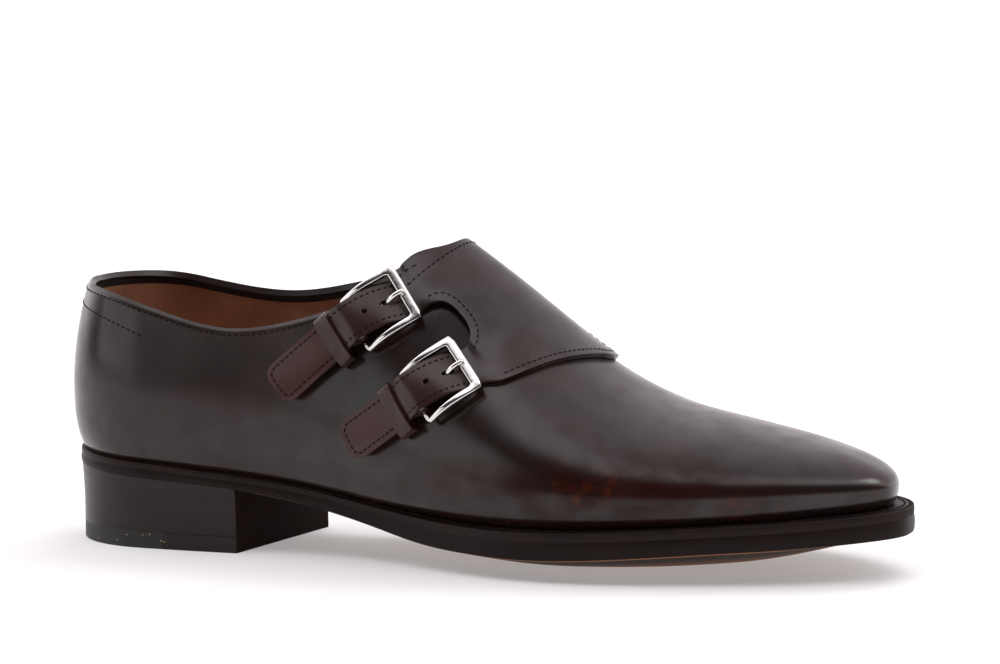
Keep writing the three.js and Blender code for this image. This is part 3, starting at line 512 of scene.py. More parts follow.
def spline(xs, ys):
    """A natural cubic spline through the points."""
    xs, ys = np.asarray(xs, float), np.asarray(ys, float)
    width, count = np.diff(xs), len(xs)
    bend = np.zeros(count)
    if count > 2:
        matrix = np.diag(2 * (width[:-1] + width[1:])) + np.diag(width[1:-1], 1) + np.diag(width[1:-1], -1)
        bend[1:-1] = np.linalg.solve(matrix, 6 * np.diff(np.diff(ys) / width))

    def at(x):
        i = np.clip(np.searchsorted(xs, x, side="right") - 1, 0, count - 2)
        a, b = (xs[i + 1] - x) / width[i], (x - xs[i]) / width[i]
        curve = (a**3 - a) * bend[i] + (b**3 - b) * bend[i + 1]
        return a * ys[i] + b * ys[i + 1] + curve * width[i] ** 2 / 6

    return at

class Table:
    """Named columns, each a spline over the first one."""

    def __init__(self, names, rows):
        columns = np.array(rows, float).T
        for name, column in zip(names.split()[1:], columns[1:]):
            setattr(self, name, spline(columns[0], column))

def bezier(a, b, c, d, t):
    s = 1 - t
    return s**3 * a + 3 * s * s * t * b + 3 * s * t * t * c + t**3 * d

def smoothstep(x, low, high):
    t = np.clip((x - low) / (high - low), 0, 1)
    return t * t * (3 - 2 * t)

def solve(rising, value, low, high, rounds=34):
    """Where a rising function reaches the value, for whole arrays at once."""
    low, high = low + 0.0 * value, high + 0.0 * value
    for _ in range(rounds):
        middle = (low + high) / 2
        below = rising(middle) < value
        low, high = np.where(below, middle, low), np.where(below, high, middle)
    return (low + high) / 2

# %% The last's shape
LAST = Table(
    "x lat med feather latW medW latZ medZ ridgeY ridgeZ rise flat",
    [
        (4, 30.5, 30.5, 31.8, 34.0, 34.0, 52, 52, 0.0, 138.0, 0.42, 0.42),
        (36, 30.5, 30.5, 29.8, 34.0, 34.0, 51, 51, 0.0, 137.0, 0.36, 0.28),
        (62, 30.0, 29.0, 27.9, 34.0, 33.5, 48, 50, 0.5, 135.0, 0.37, 0.3),
        (90, 28.5, 25.0, 25.0, 34.0, 33.0, 44, 48, 1.5, 131.0, 0.42, 0.34),
        (115, 29.5, 24.0, 21.2, 36.5, 34.5, 38, 45, 2.5, 121.0, 0.44, 0.36),
        (140, 34.5, 29.0, 18.2, 41.0, 38.0, 33, 40, 3.5, 106.0, 0.45, 0.38),
        (165, 41.5, 37.0, 17.0, 45.5, 42.5, 29, 34, 4.5, 88.0, 0.48, 0.42),
        (190, 44.8, 43.5, 17.2, 47.8, 46.5, 28, 30, 5.5, 68.4, 0.52, 0.48),
        (215, 42.5, 45.5, 18.2, 44.8, 48.0, 28, 28, 6.0, 54.8, 0.54, 0.55),
        (240, 35.5, 43.0, 19.6, 37.3, 45.0, 28, 28, 6.0, 49.0, 0.54, 0.56),
        (265, 27.0, 37.5, 21.2, 28.5, 39.0, 29, 29, 6.0, 43.8, 0.52, 0.55),
        (297, 17.0, 28.0, 23.8, 18.5, 29.5, 30, 30, 6.0, 36.0, 0.5, 0.52),
    ],
)
HEEL_X, HEEL_BACK_X, HEEL_ROUNDNESS, BACK_BULGE = 37.0, 4.0, 2.1, 3.4
TOE_X, TOE_TIP_X, TOE_ROUNDNESS, TOE_BULGE = 250.0, 296.0, 2.25, 1.9
HEEL_SHARE, TOE_SHARE = 0.16, 0.8  # the stations where the round heel ends and the round toe starts
WIDEST_SHARE = 0.35

def station(p):
    """How far along the foot a station lies, and how much of the width is left there. p is 0 to 1."""
    heel = np.clip(p / HEEL_SHARE, 0, 1) * np.pi / 2
    toe = np.clip((p - TOE_SHARE) / (1 - TOE_SHARE), 0, 1) * np.pi / 2
    middle = HEEL_X + (TOE_X - HEEL_X) * np.clip((p - HEEL_SHARE) / (TOE_SHARE - HEEL_SHARE), 0, 1)
    back = HEEL_X - (HEEL_X - HEEL_BACK_X) * np.cos(heel) ** (2 / HEEL_ROUNDNESS)
    front = TOE_X + (TOE_TIP_X - TOE_X) * np.sin(toe) ** (2 / TOE_ROUNDNESS)
    x = np.where(p < HEEL_SHARE, back, np.where(p > TOE_SHARE, front, middle))
    round_toe = np.clip(np.cos(toe), 0, 1) ** (2 / TOE_ROUNDNESS)
    round_heel = np.sin(heel) ** (2 / HEEL_ROUNDNESS)
    share = np.where(p < HEEL_SHARE, round_heel, np.where(p > TOE_SHARE, round_toe, 1.0))
    return x, share

def station_at(x):
    """The station of a place in the middle of the foot."""
    return HEEL_SHARE + (x - HEEL_X) / (TOE_X - HEEL_X) * (TOE_SHARE - HEEL_SHARE)

def plan(p, side):
    """The plan geometry of a station: place, centre, direction out of the centre, and radius."""
    x, share = station(p)
    half = np.where(side < 0, LAST.lat(x), LAST.med(x)) * share
    centre_x = np.clip(x, HEEL_X, TOE_X)
    centre_y = LAST.ridgeY(centre_x)
    dx, dy = x - centre_x, side * half - centre_y
    radius = np.hypot(dx, dy)
    return x, centre_x, centre_y, dx / radius, dy / radius, radius

def last_point(p, v, side):
    """A point of the last: v is 0 at the feather line and 1 on the ridge; side is -1 outside, 1 inside."""
    x, centre_x, centre_y, ux, uy, radius = plan(p, side)
    outer = side < 0
    spread = np.where(outer, LAST.latW(x) - LAST.lat(x), LAST.medW(x) - LAST.med(x))
    bulge = spread * uy**2 + np.where(x < HEEL_X, BACK_BULGE, TOE_BULGE) * ux**2
    widest, widest_z = radius + bulge, np.where(outer, LAST.latZ(x), LAST.medZ(x))
    feather, ridge = LAST.feather(x), LAST.ridgeZ(centre_x)
    low, high = np.clip(v / WIDEST_SHARE, 0, 1), np.clip((v - WIDEST_SHARE) / (1 - WIDEST_SHARE), 0, 1)
    height, over = widest_z - feather, ridge - widest_z
    reach = widest * LAST.flat(x)
    fall = np.where(centre_x < TOE_X, 0, (LAST.ridgeZ(TOE_X) - LAST.ridgeZ(TOE_X - 1)) * ux)
    r_low = bezier(radius, radius + bulge * 0.75, widest, widest, low)
    z_low = bezier(feather, feather + height * 0.22, widest_z - height * 0.45, widest_z, low)
    r_high = bezier(widest, widest, reach, 0, high)
    z_high = bezier(widest_z, widest_z + over * LAST.rise(x), ridge + fall * reach, ridge, high)
    r, z = np.where(v < WIDEST_SHARE, r_low, r_high), np.where(v < WIDEST_SHARE, z_low, z_high)
    return np.stack([centre_x + ux * r, centre_y + uy * r, z + 0 * r], -1)

def last_normal(p, v, side, small=2e-4):
    """The last's outward direction."""
    before, after = np.clip(p - small, 1e-6, 1 - 1e-6), np.clip(p + small, 1e-6, 1 - 1e-6)
    low, high = np.clip(v - small, 0, 1), np.clip(v + small, 0, 1)
    round_it = last_point(after, v, side) - last_point(before, v, side)
    up_it = last_point(p, high, side) - last_point(p, low, side)
    out = np.cross(round_it, up_it) * -np.asarray(side)[..., None]
    out /= np.maximum(np.linalg.norm(out, axis=-1, keepdims=True), 1e-12)
    centre_x = np.clip(station(p)[0], HEEL_X, TOE_X)
    slope = LAST.ridgeZ(centre_x + 0.5) - LAST.ridgeZ(centre_x - 0.5)
    top = np.stack([-slope, 0 * slope, 1 + 0 * slope], -1)
    top /= np.linalg.norm(top, axis=-1, keepdims=True)
    share = smoothstep(v, 0.95, 0.995)[..., None]
    out = out * (1 - share) + top * share
    return out / np.linalg.norm(out, axis=-1, keepdims=True)

def off_last(p, v, side, distance):
    """A place at a distance outside the last, in the model's frame, in mm."""
    p, v, side, distance = np.broadcast_arrays(*(np.asarray(a, float) for a in (p, v, side, distance)))
    return last_point(p, v, side) + last_normal(p, v, side) * distance[..., None] + SHIFT

print("ball of the foot is", round(float(LAST.latW(190) + LAST.medW(190)), 1), "mm wide")

# %% [markdown]
# ## Patterns on the last
# A maker draws the flap flat and then lays it over the instep. The same is done here: "along" runs down the
# ridge of the foot on sections that lean back, and "round" is the girth from the ridge, positive on the
# outer side. A table of girths is measured once on the last, and then any flat place can be laid on it.

# %% The flat layout
LEAN = math.radians(38)
ALONGS, SECTION_V = np.linspace(-6, 158, 83), np.linspace(1, 0, 141)

def section_station(along, v, side):
    """The station where a leaning section crosses the last at v."""

    def reach(p):
        point = last_point(p, v, side)
        return point[..., 0] * math.cos(LEAN) - point[..., 2] * math.sin(LEAN)

    return solve(reach, along + 0 * v, HEEL_SHARE, TOE_SHARE)

def measure_girths(side):
    along, v = np.meshgrid(ALONGS, SECTION_V, indexing="ij")
    points = last_point(section_station(along, v, side), v, side)
    spans = np.linalg.norm(np.diff(points, axis=1), axis=-1)
    return np.concatenate([np.zeros((len(ALONGS), 1)), np.cumsum(spans, axis=1)], axis=1)

GIRTHS = {side: measure_girths(side) for side in (-1, 1)}

def section_v(along, girth, side):
    """How far down a section a girth reaches, as v."""
    place = np.clip((along - ALONGS[0]) / (ALONGS[1] - ALONGS[0]), 0, len(ALONGS) - 1.001)
    row, share = place.astype(int), place % 1
    found = []
    for i, t, g in zip(row.ravel(), share.ravel(), girth.ravel()):
        line = GIRTHS[side][i] * (1 - t) + GIRTHS[side][i + 1] * t
        found.append(np.interp(g, line, SECTION_V))
    return np.array(found).reshape(girth.shape)

def lay_flat_place(along, round_, height):
    """Lay places of the flat layout on the last, at a height above it."""
    along, round_, height = np.broadcast_arrays(*(np.asarray(a, float) for a in (along, round_, height)))
    places = np.zeros(along.shape + (3,))
    for side in (-1, 1):
        here = (round_ < 0) == (side > 0)
        if here.any():
            v = section_v(along[here], np.abs(round_[here]), side)
            p = section_station(along[here], v, float(side))
            places[here] = off_last(p, v, float(side), height[here])
    return places

def girth_at(points, v, side):
    """Where places of the last lie in the flat layout."""
    along = points[..., 0] * math.cos(LEAN) - points[..., 2] * math.sin(LEAN)
    place = np.clip((along - ALONGS[0]) / (ALONGS[1] - ALONGS[0]), 0, len(ALONGS) - 1.001)
    row, share = place.astype(int), place % 1
    down = np.clip((1 - v) * (len(SECTION_V) - 1), 0, len(SECTION_V) - 1.001)
    step, part = down.astype(int), down % 1
    grid = GIRTHS[side]
    low = grid[row, step] * (1 - part) + grid[row, step + 1] * part
    high = grid[row + 1, step] * (1 - part) + grid[row + 1, step + 1] * part
    return along, low * (1 - share) + high * share

print("girth over the instep:", round(float(GIRTHS[-1][40, -1] + GIRTHS[1][40, -1])), "mm")

# %% The collar's edge and the flap's outline
TOPLINE = Table(
    "x lat med",
    [
        (5, 88.6, 88.6),
        (20, 87.2, 87.8),
        (38, 83.4, 85.4),
        (55, 79.0, 83.0),
        (70, 77.0, 82.6),
        (85, 78.5, 84.8),
        (100, 82.4, 88.4),
        (115, 87.8, 92.6),
        (128, 93.8, 97.2),
        (137, 98.4, 100.4),
        (144.5, 103.2, 103.2),
    ],
)
THROAT_X = 144.5
FLAP = Table(
    "round top front",
    [
        (-62, 62, 80),
        (-50, 57.5, 88),
        (-35, 53, 99),
        (-22, 50.2, 107.5),
        (-12, 48.8, 111.5),
        (0, 47.8, 109.5),
        (12, 46.2, 104.6),
        (18, 44.0, 102.2),
        (25.5, 41.6, 99.2),
        (36, 41.0, 95.2),
        (44, 40.8, 94.0),
        (50, 40.6, 92.4),
    ],
)
SLOT_CENTRE, SLOT_HALF, SLOT_END, SLOT_DEPTH, SLOT_ROUNDNESS = 69.0, 10.3, 28.6, 8.4, 2.6

def collar_share(p, side, drop=0.0):
    """How far up its section the leather goes, less a drop in mm."""
    x = station(p)[0]
    first = last_point(p, WIDEST_SHARE + 0 * p, side)
    edge_x = np.where(x < HEEL_X, first[..., 0], x)
    edge_x = np.minimum(edge_x, THROAT_X)
    height = np.where(side < 0, TOPLINE.lat(edge_x), TOPLINE.med(edge_x))
    v = solve(lambda t: last_point(p, t, side)[..., 2], height - drop, 0.0, 1.0)
    return np.where(x >= THROAT_X - 1e-6, 1.0, v)

# %% [markdown]
# ## The upper
# The upper is one skin pulled over the last: vamp, quarters and counter, with the lining inside. A grid is
# cut with columns round the foot and rows up it, laid on the last, and thickened. The inner quarter
# overlaps the vamp, so the leather stands a little higher behind its front edge. Along the collar the edge
# is skived and folded, which the rows near it follow by curling inwards.

# %% The upper
UPPER_WALL = 2.2
KEYHOLE_MIDDLE = np.array((-2.0, -28.0, 79.0))
INNER_QUARTER = Table(
    "round front",
    [(-112, 52), (-95, 60), (-78, 69), (-62, 80), (-50, 88), (-35, 99), (-22, 107.5)],
)

def inner_quarter_rise(points, v):
    """How much higher the leather lies on the inner side, where the quarter covers the vamp."""
    along, girth = girth_at(points, v, 1)
    covered = 0.8 + 1.35 * smoothstep(-girth, -62, -32)
    under_flap = FLAP.top(-np.minimum(girth, 62.0)) + 5
    tail = smoothstep(girth, 50, 62)
    edge = np.where(girth > 60, INNER_QUARTER.front(-girth), under_flap)
    edge = edge * tail + under_flap * (1 - tail)
    behind = smoothstep(edge - along, 0, 0.9 + 2.6 * (1 - tail))
    from_heel = smoothstep(points[..., 0], 1, 30)
    near_ridge = smoothstep(girth, 6, 20)
    return covered * behind * from_heel * near_ridge

def make_upper(columns=380, rows=64):
    upper, u, v_share = cut_sheet("upper_leather", columns, rows)
    side = np.where(u < 0.5, -1.0, 1.0)
    p = np.clip(np.abs(1 - 2 * u), 0.0, 1.0)
    top = collar_share(p, side)
    v = top * v_share**0.85
    points = last_point(p, v, side)
    open_edge = station(p)[0] < THROAT_X
    girth_left = (top - v) / np.maximum(top, 0.01) * 90
    curl = np.where(open_edge, np.clip(1 - girth_left / 0.9, 0, 1), 0)
    distance = -0.7 * (1 - np.sqrt(1 - curl**2))
    distance = distance + np.where(side > 0, inner_quarter_rise(points, v), 0) * (1 - curl)
    lay(upper, off_last(p, v, side, distance))
    mark(upper, "below_collar", np.where(open_edge, girth_left, 99))
    # Painted shade: under_flap marks the upper round the keyhole's middle, where the calf finish paints the
    # shadow inside the keyhole.
    from_slot = np.linalg.norm(points_of(upper) / MM - KEYHOLE_MIDDLE, axis=-1)
    mark(upper, "under_flap", 1 - smoothstep(from_slot, 8, 15))
    print("upper: nearest point to the keyhole's middle", round(float(from_slot.min()), 1), "mm")
    return weld(upper)

upper = make_upper()
print("upper:", len(upper.data.polygons), "cells before it is thickened")
upper.data.materials.append(CALF)
upper.data.materials.append(LINING)
face_out(upper)
apply_modifier(
    upper,
    "SOLIDIFY",
    thickness=UPPER_WALL * MM,
    offset=-1,
    use_even_offset=False,
    material_offset=1,
    material_offset_rim=0,
)
smooth(upper, 50)
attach(upper, "root")
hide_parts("upper")

# %% [markdown]
# ## Spaces for the straps and buckles
# A strap bends with the leather under it, but a buckle is stiff. So each strap has its own space, where s
# runs back from the buckle's front bar, w runs across towards the sole and h is the height above the
# leather. Each buckle has a flat space in line with its strap, turned a little as it really sits.

# %% Strap and buckle spaces
STRAPS = {
    "upper": {
        "line": Table(
            "s x z",
            [(-9, 142.6, 91.6), (0, 134.2, 88.6), (14, 122.2, 82.6), (28, 110.9, 74.6), (57, 89.6, 56.4)],
        ),
        "tip": 55.0,
        "pitch": -3.0,
        "yaw": 6.0,
        "shift": (-0.9, 0.1, 4.0),
        "rise": 5.1,
    },
    "lower": {
        "line": Table(
            "s x z",
            [(-9, 169.2, 70.8), (0, 160.8, 67.6), (14, 148.6, 61.4), (28, 137.2, 53.4), (57, 113.4, 37.6)],
        ),
        "tip": 50.0,
        "pitch": -5.5,
        "yaw": 8.0,
        "shift": (0.0, 0.2, 4.25),
        "rise": 6.3,
    },
}
STRAP_WIDTH, STRAP_THICKNESS, STRAP_CORNER, STRAP_CROWN = 14.6, 1.6, 4.5, 60.0
STRAP_RISE = Table(
    "s h",
    [
        (-9, 0.5),
        (-3, 0.45),
        (0, 0.5),
        (2.6, 0.8),
        (6, 2.5),
        (10, 4.4),
        (14, 5.5),
        (19, 6.3),
        (22, 6.0),
        (24, 5.1),
        (28, 3.5),
        (34, 3.0),
        (45, 2.9),
        (57, 3.1),
    ],
)
BUCKLE_MIDDLE_S = 10.0

def unit(vectors):
    return vectors / np.linalg.norm(vectors, axis=-1, keepdims=True)

def strap_space(line):
    def on_last(s):
        p = station_at(line.x(s))
        v = solve(lambda t: last_point(p, t, -1.0)[..., 2], line.z(s), 0.0, 1.0)
        return p, v

    def space(s, w, h):
        s, w, h = np.broadcast_arrays(*(np.asarray(a, float) for a in (s, w, h)))
        p, v = on_last(s)
        point, normal = last_point(p, v, -1.0) + SHIFT, last_normal(p, v, -1.0)
        ahead = unit(last_point(*on_last(s + 0.5), -1.0) - last_point(*on_last(s - 0.5), -1.0))
        across = unit(np.cross(ahead, normal))
        across = across * np.where(across[..., 2:] > 0, -1, 1)
        return point + across * w[..., None] + normal * (h - w * w / (2 * STRAP_CROWN))[..., None]

    return space

def buckle_space(strap, pitch, yaw, shift):
    origin = strap(BUCKLE_MIDDLE_S, 0, 0)
    along = unit(strap(2 * BUCKLE_MIDDLE_S, 0, 0) - strap(0, 0, 0))
    out = strap(BUCKLE_MIDDLE_S, 0, 1) - origin
    out = unit(out - along * out.dot(along))
    axes = np.stack([along, np.cross(out, along), out])
    turn = np.array(Matrix.Rotation(math.radians(yaw), 3, "Z") @ Matrix.Rotation(math.radians(pitch), 3, "Y"))

    def space(s, w, h):
        s, w, h = np.broadcast_arrays(*(np.asarray(a, float) for a in (s, w, h)))
        local = np.stack([s - BUCKLE_MIDDLE_S, w, h], -1) @ turn.T + np.array(shift)
        return origin + local @ axes

    return space

TAB_BEND_S, TAB_FLAT_S = 22.5, 25.5

def tab_space(strap, buckle, rise):
    """Stiff round the hinge, then bending down to lie along the leather under the strap."""

    def space(s, w, h):
        s, w, h = np.broadcast_arrays(*(np.asarray(a, float) for a in (s, w, h)))
        share = smoothstep(s, TAB_BEND_S, TAB_FLAT_S)[..., None]
        return buckle(s, w, h - rise) * (1 - share) + strap(s, w, h) * share

    return space

for strap in STRAPS.values():
    strap["space"] = strap_space(strap["line"])
    strap["stiff"] = buckle_space(strap["space"], strap["pitch"], strap["yaw"], strap["shift"])
    strap["soft"] = tab_space(strap["space"], strap["stiff"], strap["rise"])
    print("buckle's middle at", np.round(strap["stiff"](10, 0, 0), 1))

# %% [markdown]
# ## The flap and its straps
# On this shoe one piece of leather crosses the instep and splits into two straps, with a rounded keyhole
# between them. It is cut flat as three grids, the body and two legs, which are laid on the foot, welded into
# one skin and thickened. The cut edges are then rounded, as they are sanded and inked by hand.

# %% The flap's body and legs
FLAP_OUT = 2.1  # the flap's outer face above the upper, in mm
FLAP_LEATHER = 1.8
ROOT_END = 31.8
LEG_COLUMNS = 16
SHOULDER = {"upper": 4.4, "lower": 0.0}  # how much wider a strap starts, on one side, at the buckle's bar
FLAP_LEAN = 0.3  # how far the rows lean at the straps, in mm for each mm from the slot's centre
KEYHOLE_RIM = 0.9  # how much higher the leather stands at the keyhole's edge
FLAP_FROM = -62.0

def flap_height(round_):
    return 0.8 + (FLAP_OUT - 0.8) * smoothstep(round_, -62, -32)

def slot_half(round_):
    depth = np.clip((SLOT_END + SLOT_DEPTH - round_) / SLOT_DEPTH, 0, 1)
    return SLOT_HALF * (1 - depth**SLOT_ROUNDNESS) ** (1 / SLOT_ROUNDNESS)

def keyhole_lift(round_, along):
    beside = 1 - smoothstep(np.abs(along - SLOT_CENTRE), 11, 21)
    return KEYHOLE_RIM * smoothstep(round_, 12, 26) * beside

def flap_spot(row, along):
    """A spot of the flap's body. Rows lean to end square to the straps, and the keyhole's edge stands up."""
    lean = FLAP_LEAN * np.clip(row, 0, SLOT_END) / SLOT_END
    round_ = row + lean * (along - SLOT_CENTRE)
    return lay_flat_place(along, round_, flap_height(round_) + keyhole_lift(round_, along))

def leg_edges(name, row):
    half = slot_half(row)
    if name == "upper":
        return FLAP.top(row), SLOT_CENTRE - half
    return SLOT_CENTRE + half, FLAP.front(row)

def strap_half(s, tip):
    into = np.clip((s - (tip - STRAP_CORNER)) / STRAP_CORNER, 0, 1)
    return STRAP_WIDTH / 2 - STRAP_CORNER * (1 - np.sqrt(1 - into * into))

def leg_rows(tip):
    """The rows of a leg: places of the root, then of the strap, closer where the outline curves."""
    root = SLOT_END + (ROOT_END - SLOT_END) * np.linspace(0, 1, 12) ** 2
    bend = np.linspace(0, 1, 5)[1:-1]
    run = np.linspace(0.4, tip - STRAP_CORNER, 64)
    corner = tip - STRAP_CORNER * (1 - np.sin(np.linspace(0, 1, 9)[1:] * np.pi / 2))
    return root, bend, np.concatenate([run, corner])

def lay_leg(name):
    strap = STRAPS[name]
    root, bend, run = leg_rows(strap["tip"])
    share = np.linspace(0, 1, LEG_COLUMNS + 1)

    def root_row(row):
        low, high = leg_edges(name, row)
        return flap_spot(row + 0 * share, low + (high - low) * share)

    def strap_row(s):
        w = (2 * share - 1) * strap_half(s, strap["tip"])
        shoulder = SHOULDER[name] * (1 - smoothstep(s, 1.2, 3.6))
        w = w - shoulder * np.clip(1 - 1.6 * share, 0, 1)
        return strap["space"](s + 0 * share, w, STRAP_RISE.h(s) + STRAP_THICKNESS)

    rows = [root_row(row) for row in root]
    start, first = rows[-1], strap_row(run[0])
    span = np.linalg.norm(first - start, axis=-1, keepdims=True)
    leave = unit(start - root_row(ROOT_END - 0.6)) * span
    arrive = unit(strap_row(run[0] + 0.6) - first) * span
    for t in bend:
        h = (2 * t**3 - 3 * t**2 + 1, t**3 - 2 * t**2 + t, -2 * t**3 + 3 * t**2, t**3 - t**2)
        rows.append(h[0] * start + h[1] * leave + h[2] * first + h[3] * arrive)
    rows += [strap_row(s) for s in run]
    leg, _, _ = cut_sheet("leg_" + name, LEG_COLUMNS, len(rows) - 1)
    lay(leg, np.concatenate(rows))
    before = len(rows) - len(run)
    less_wax = smoothstep(run, 0, 6) * (0.45 + 0.55 * smoothstep(run, 24, 32))
    dryness = np.concatenate([np.zeros(before), less_wax])
    mark(leg, "dry", np.repeat(dryness, LEG_COLUMNS + 1))
    return leg

def lay_body(rows=110):
    body, u, v = cut_sheet("flap_leather", 2 * LEG_COLUMNS, rows)
    row = FLAP_FROM + (SLOT_END - FLAP_FROM) * v
    upper_part = FLAP.top(row) + (SLOT_CENTRE - FLAP.top(row)) * np.clip(2 * u, 0, 1)
    lower_part = SLOT_CENTRE + (FLAP.front(row) - SLOT_CENTRE) * np.clip(2 * u - 1, 0, 1)
    mark(body, "dry", 0 * row)
    return lay(body, flap_spot(row, np.where(u < 0.5, upper_part, lower_part)))

flap = lay_body()
legs = [lay_leg(name) for name in STRAPS]
alone(flap)
for leg in legs:
    leg.select_set(True)
bpy.ops.object.join()
weld(flap, 0.04 * MM, recalculate=True)
print("flap and straps:", len(flap.data.polygons), "cells")

# %% Thickness, rounded edges and holes
face_out(flap)
apply_modifier(flap, "SOLIDIFY", thickness=FLAP_LEATHER * MM, offset=-1, use_even_offset=False)
soften(flap, 0.38, 3, 55)
flap.data.materials.append(CALF)

def punch(piece, name, s, length, width, depth=(-3.0, 3.0)):
    """Punch an oval hole through a strap."""
    space = STRAPS[name]["space"]
    tool, u, v = cut_sheet("punch", 24, 1)
    turn = u * 2 * np.pi
    rise = STRAP_RISE.h(s) + np.where(v > 0.5, depth[1], depth[0]) + STRAP_THICKNESS / 2
    lay(tool, space(s + length / 2 * np.cos(turn), width / 2 * np.sin(turn), rise))
    weld(tool)
    with editing(tool):
        bpy.ops.mesh.fill_holes(sides=0)
        bpy.ops.mesh.normals_make_consistent(inside=False)
    apply_modifier(piece, "BOOLEAN", operation="DIFFERENCE", solver="EXACT", object=tool)
    bpy.data.objects.remove(tool)

PRONG_HOLE_S, SPARE_HOLE_S, HOLE_WIDTH = 7.3, 14.1, 1.9
for name in STRAPS:
    punch(flap, name, PRONG_HOLE_S, 2 * HOLE_WIDTH, HOLE_WIDTH)
    punch(flap, name, SPARE_HOLE_S, HOLE_WIDTH, HOLE_WIDTH)
smooth(flap, 42)
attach(flap, "root")
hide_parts("flap_with_straps")
print("flap finished:", len(flap.data.polygons), "faces")

# %% [markdown]
# ## Buckles
# A buckle is cast in one piece: a flat front bar with crisp outer corners, and two arms that thin out and
# dip under the strap to a hinge bar. It is modelled as one closed bar, a grid bent round a path, whose
# outline goes from a box with soft edges at the front to round at the hinge.

# %% A bar along a path
def bar(name, space, path, sides=20, ring=False):
    """Bend a grid round a path. Its rows are (s, w, h, wide, high, squareness)."""
    path = np.array(path, float)
    spots = path[:, :3]
    row = np.arange(len(spots))
    before = spots[row - 1 if ring else np.maximum(row - 1, 0)]
    after = spots[(row + 1) % len(spots) if ring else np.minimum(row + 1, len(spots) - 1)]
    ahead = unit(after - before)
    side = np.stack([-ahead[:, 1], ahead[:, 0], 0 * ahead[:, 0]], -1)
    side = unit(np.where(np.linalg.norm(side, axis=1, keepdims=True) < 1e-3, (0, 1, 0), side))
    up = np.cross(ahead, side)
    rows = len(path) if ring else len(path) - 1
    piece, u, v = cut_sheet(name, sides, rows)
    turn = (u + 0.5 / sides) * 2 * np.pi
    row = np.rint(v * rows).astype(int) % len(path)
    power = 2 / path[row, 5]
    wide = np.sign(np.cos(turn)) * np.abs(np.cos(turn)) ** power * path[row, 3]
    high = np.sign(np.sin(turn)) * np.abs(np.sin(turn)) ** power * path[row, 4]
    places = spots[row] + side[row] * wide[:, None] + up[row] * high[:, None]
    lay(piece, space(*places.T))
    weld(piece)
    if not ring:
        with editing(piece):
            bpy.ops.mesh.fill_holes(sides=0)
    return weld(piece, 0.001 * MM, recalculate=True)

def through(columns, places, count):
    """A spline through rows of numbers, sampled evenly along its length."""
    places = np.array(places, float)
    steps = np.concatenate([[0], np.cumsum(np.linalg.norm(np.diff(places[:, :2], axis=0), axis=1))])
    t = np.linspace(0, steps[-1], count)
    return [spline(steps, places[:, i])(t) for i in range(columns)]

def claim(piece, name, material, degrees=38):
    """Finish a piece: its leather or metal, its smooth shading and the solid that it stands for."""
    piece.data.materials.clear()
    piece.data.materials.append(material)
    smooth(piece, degrees)
    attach(piece, "root")
    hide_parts(name)
    return piece

# %% Buckle frames
BUCKLE = {"width": 22.6, "side": 2.6, "front": 3.4, "thick": 2.4, "front_s": 1.2}
HINGE_S, HINGE_H, HINGE_RADIUS = 20.9, -2.7, 0.85

def make_frame(name):
    half = (BUCKLE["width"] - BUCKLE["side"]) / 2
    high, front, side = BUCKLE["thick"] / 2, BUCKLE["front"] / 2, BUCKLE["side"] / 2
    front_s, end = BUCKLE["front_s"], HINGE_S - 0.5
    start = front_s + front + 0.5
    arm = []
    for s in np.linspace(start, end, 16):
        t = (s - start) / (end - start)
        dip = 0.45 * math.sin(math.pi * t) + HINGE_H * t**3
        thin = 1 - t**1.3
        arm.append((s, half, dip, 0.95 + (side - 0.95) * thin, 0.9 + (high - 0.9) * thin, 2.2 + 2.6 * thin))
    bar_end = half - side - 0.5
    across = [(front_s, w, 0, front, high, 4.8) for w in np.linspace(bar_end, -bar_end, 9)]
    corner = [(front_s + 0.35, half - 0.35, 0, 2.0, high, 4.8)]
    hinge_ws = np.linspace(-half + 0.7, half - 0.7, 9)
    hinge = [(HINGE_S, w, HINGE_H, HINGE_RADIUS, HINGE_RADIUS, 2) for w in hinge_ws]
    other = lambda rows: [(s, -w, *rest) for s, w, *rest in rows]
    path = arm[::-1] + corner + across + other(corner) + other(arm) + hinge
    frame_piece = bar("buckle_frame_" + name + "_cast", STRAPS[name]["stiff"], path, 24, ring=True)
    return claim(frame_piece, "buckle_frame_" + name, METAL, 45)

PRONG_PATH = [
    (18.9, -2.5),
    (15, -2.1),
    (11.8, -1.8),
    (9.6, -1.2),
    (7.9, -0.2),
    (6.3, 1.0),
    (4.7, 1.8),
    (3.2, 2.1),
    (1.6, 2.05),
    (0.4, 1.75),
]

def make_prong(name):
    s, h = through(2, PRONG_PATH, 30)
    share = np.linspace(0, 1, 30)
    radius = 0.62 + 0.16 * smoothstep(share, 0.35, 0.6) - 0.1 * smoothstep(share, 0.7, 1.0)
    tip = np.sqrt(np.clip(1 - (np.clip(share - 0.965, 0, 1) / 0.036) ** 2, 0.02, 1))
    path = [(a, 0, b, r * 1.12 * t, r * t, 2.3) for a, b, r, t in zip(s, h, radius, tip)]
    prong = bar("buckle_prong_" + name + "_cast", STRAPS[name]["stiff"], path, 14)
    return claim(prong, "buckle_prong_" + name, METAL, 60)

for name in STRAPS:
    print(make_frame(name).name, make_prong(name).name)

# %% [markdown]
# ## Tabs and keepers
# A tab of thinner leather is folded round each hinge bar and sewn to the quarter, with a slot for the prong.
# The keeper is a plain loop round the strap. Its lower end bulges, as the leather is too stiff to fold flat.

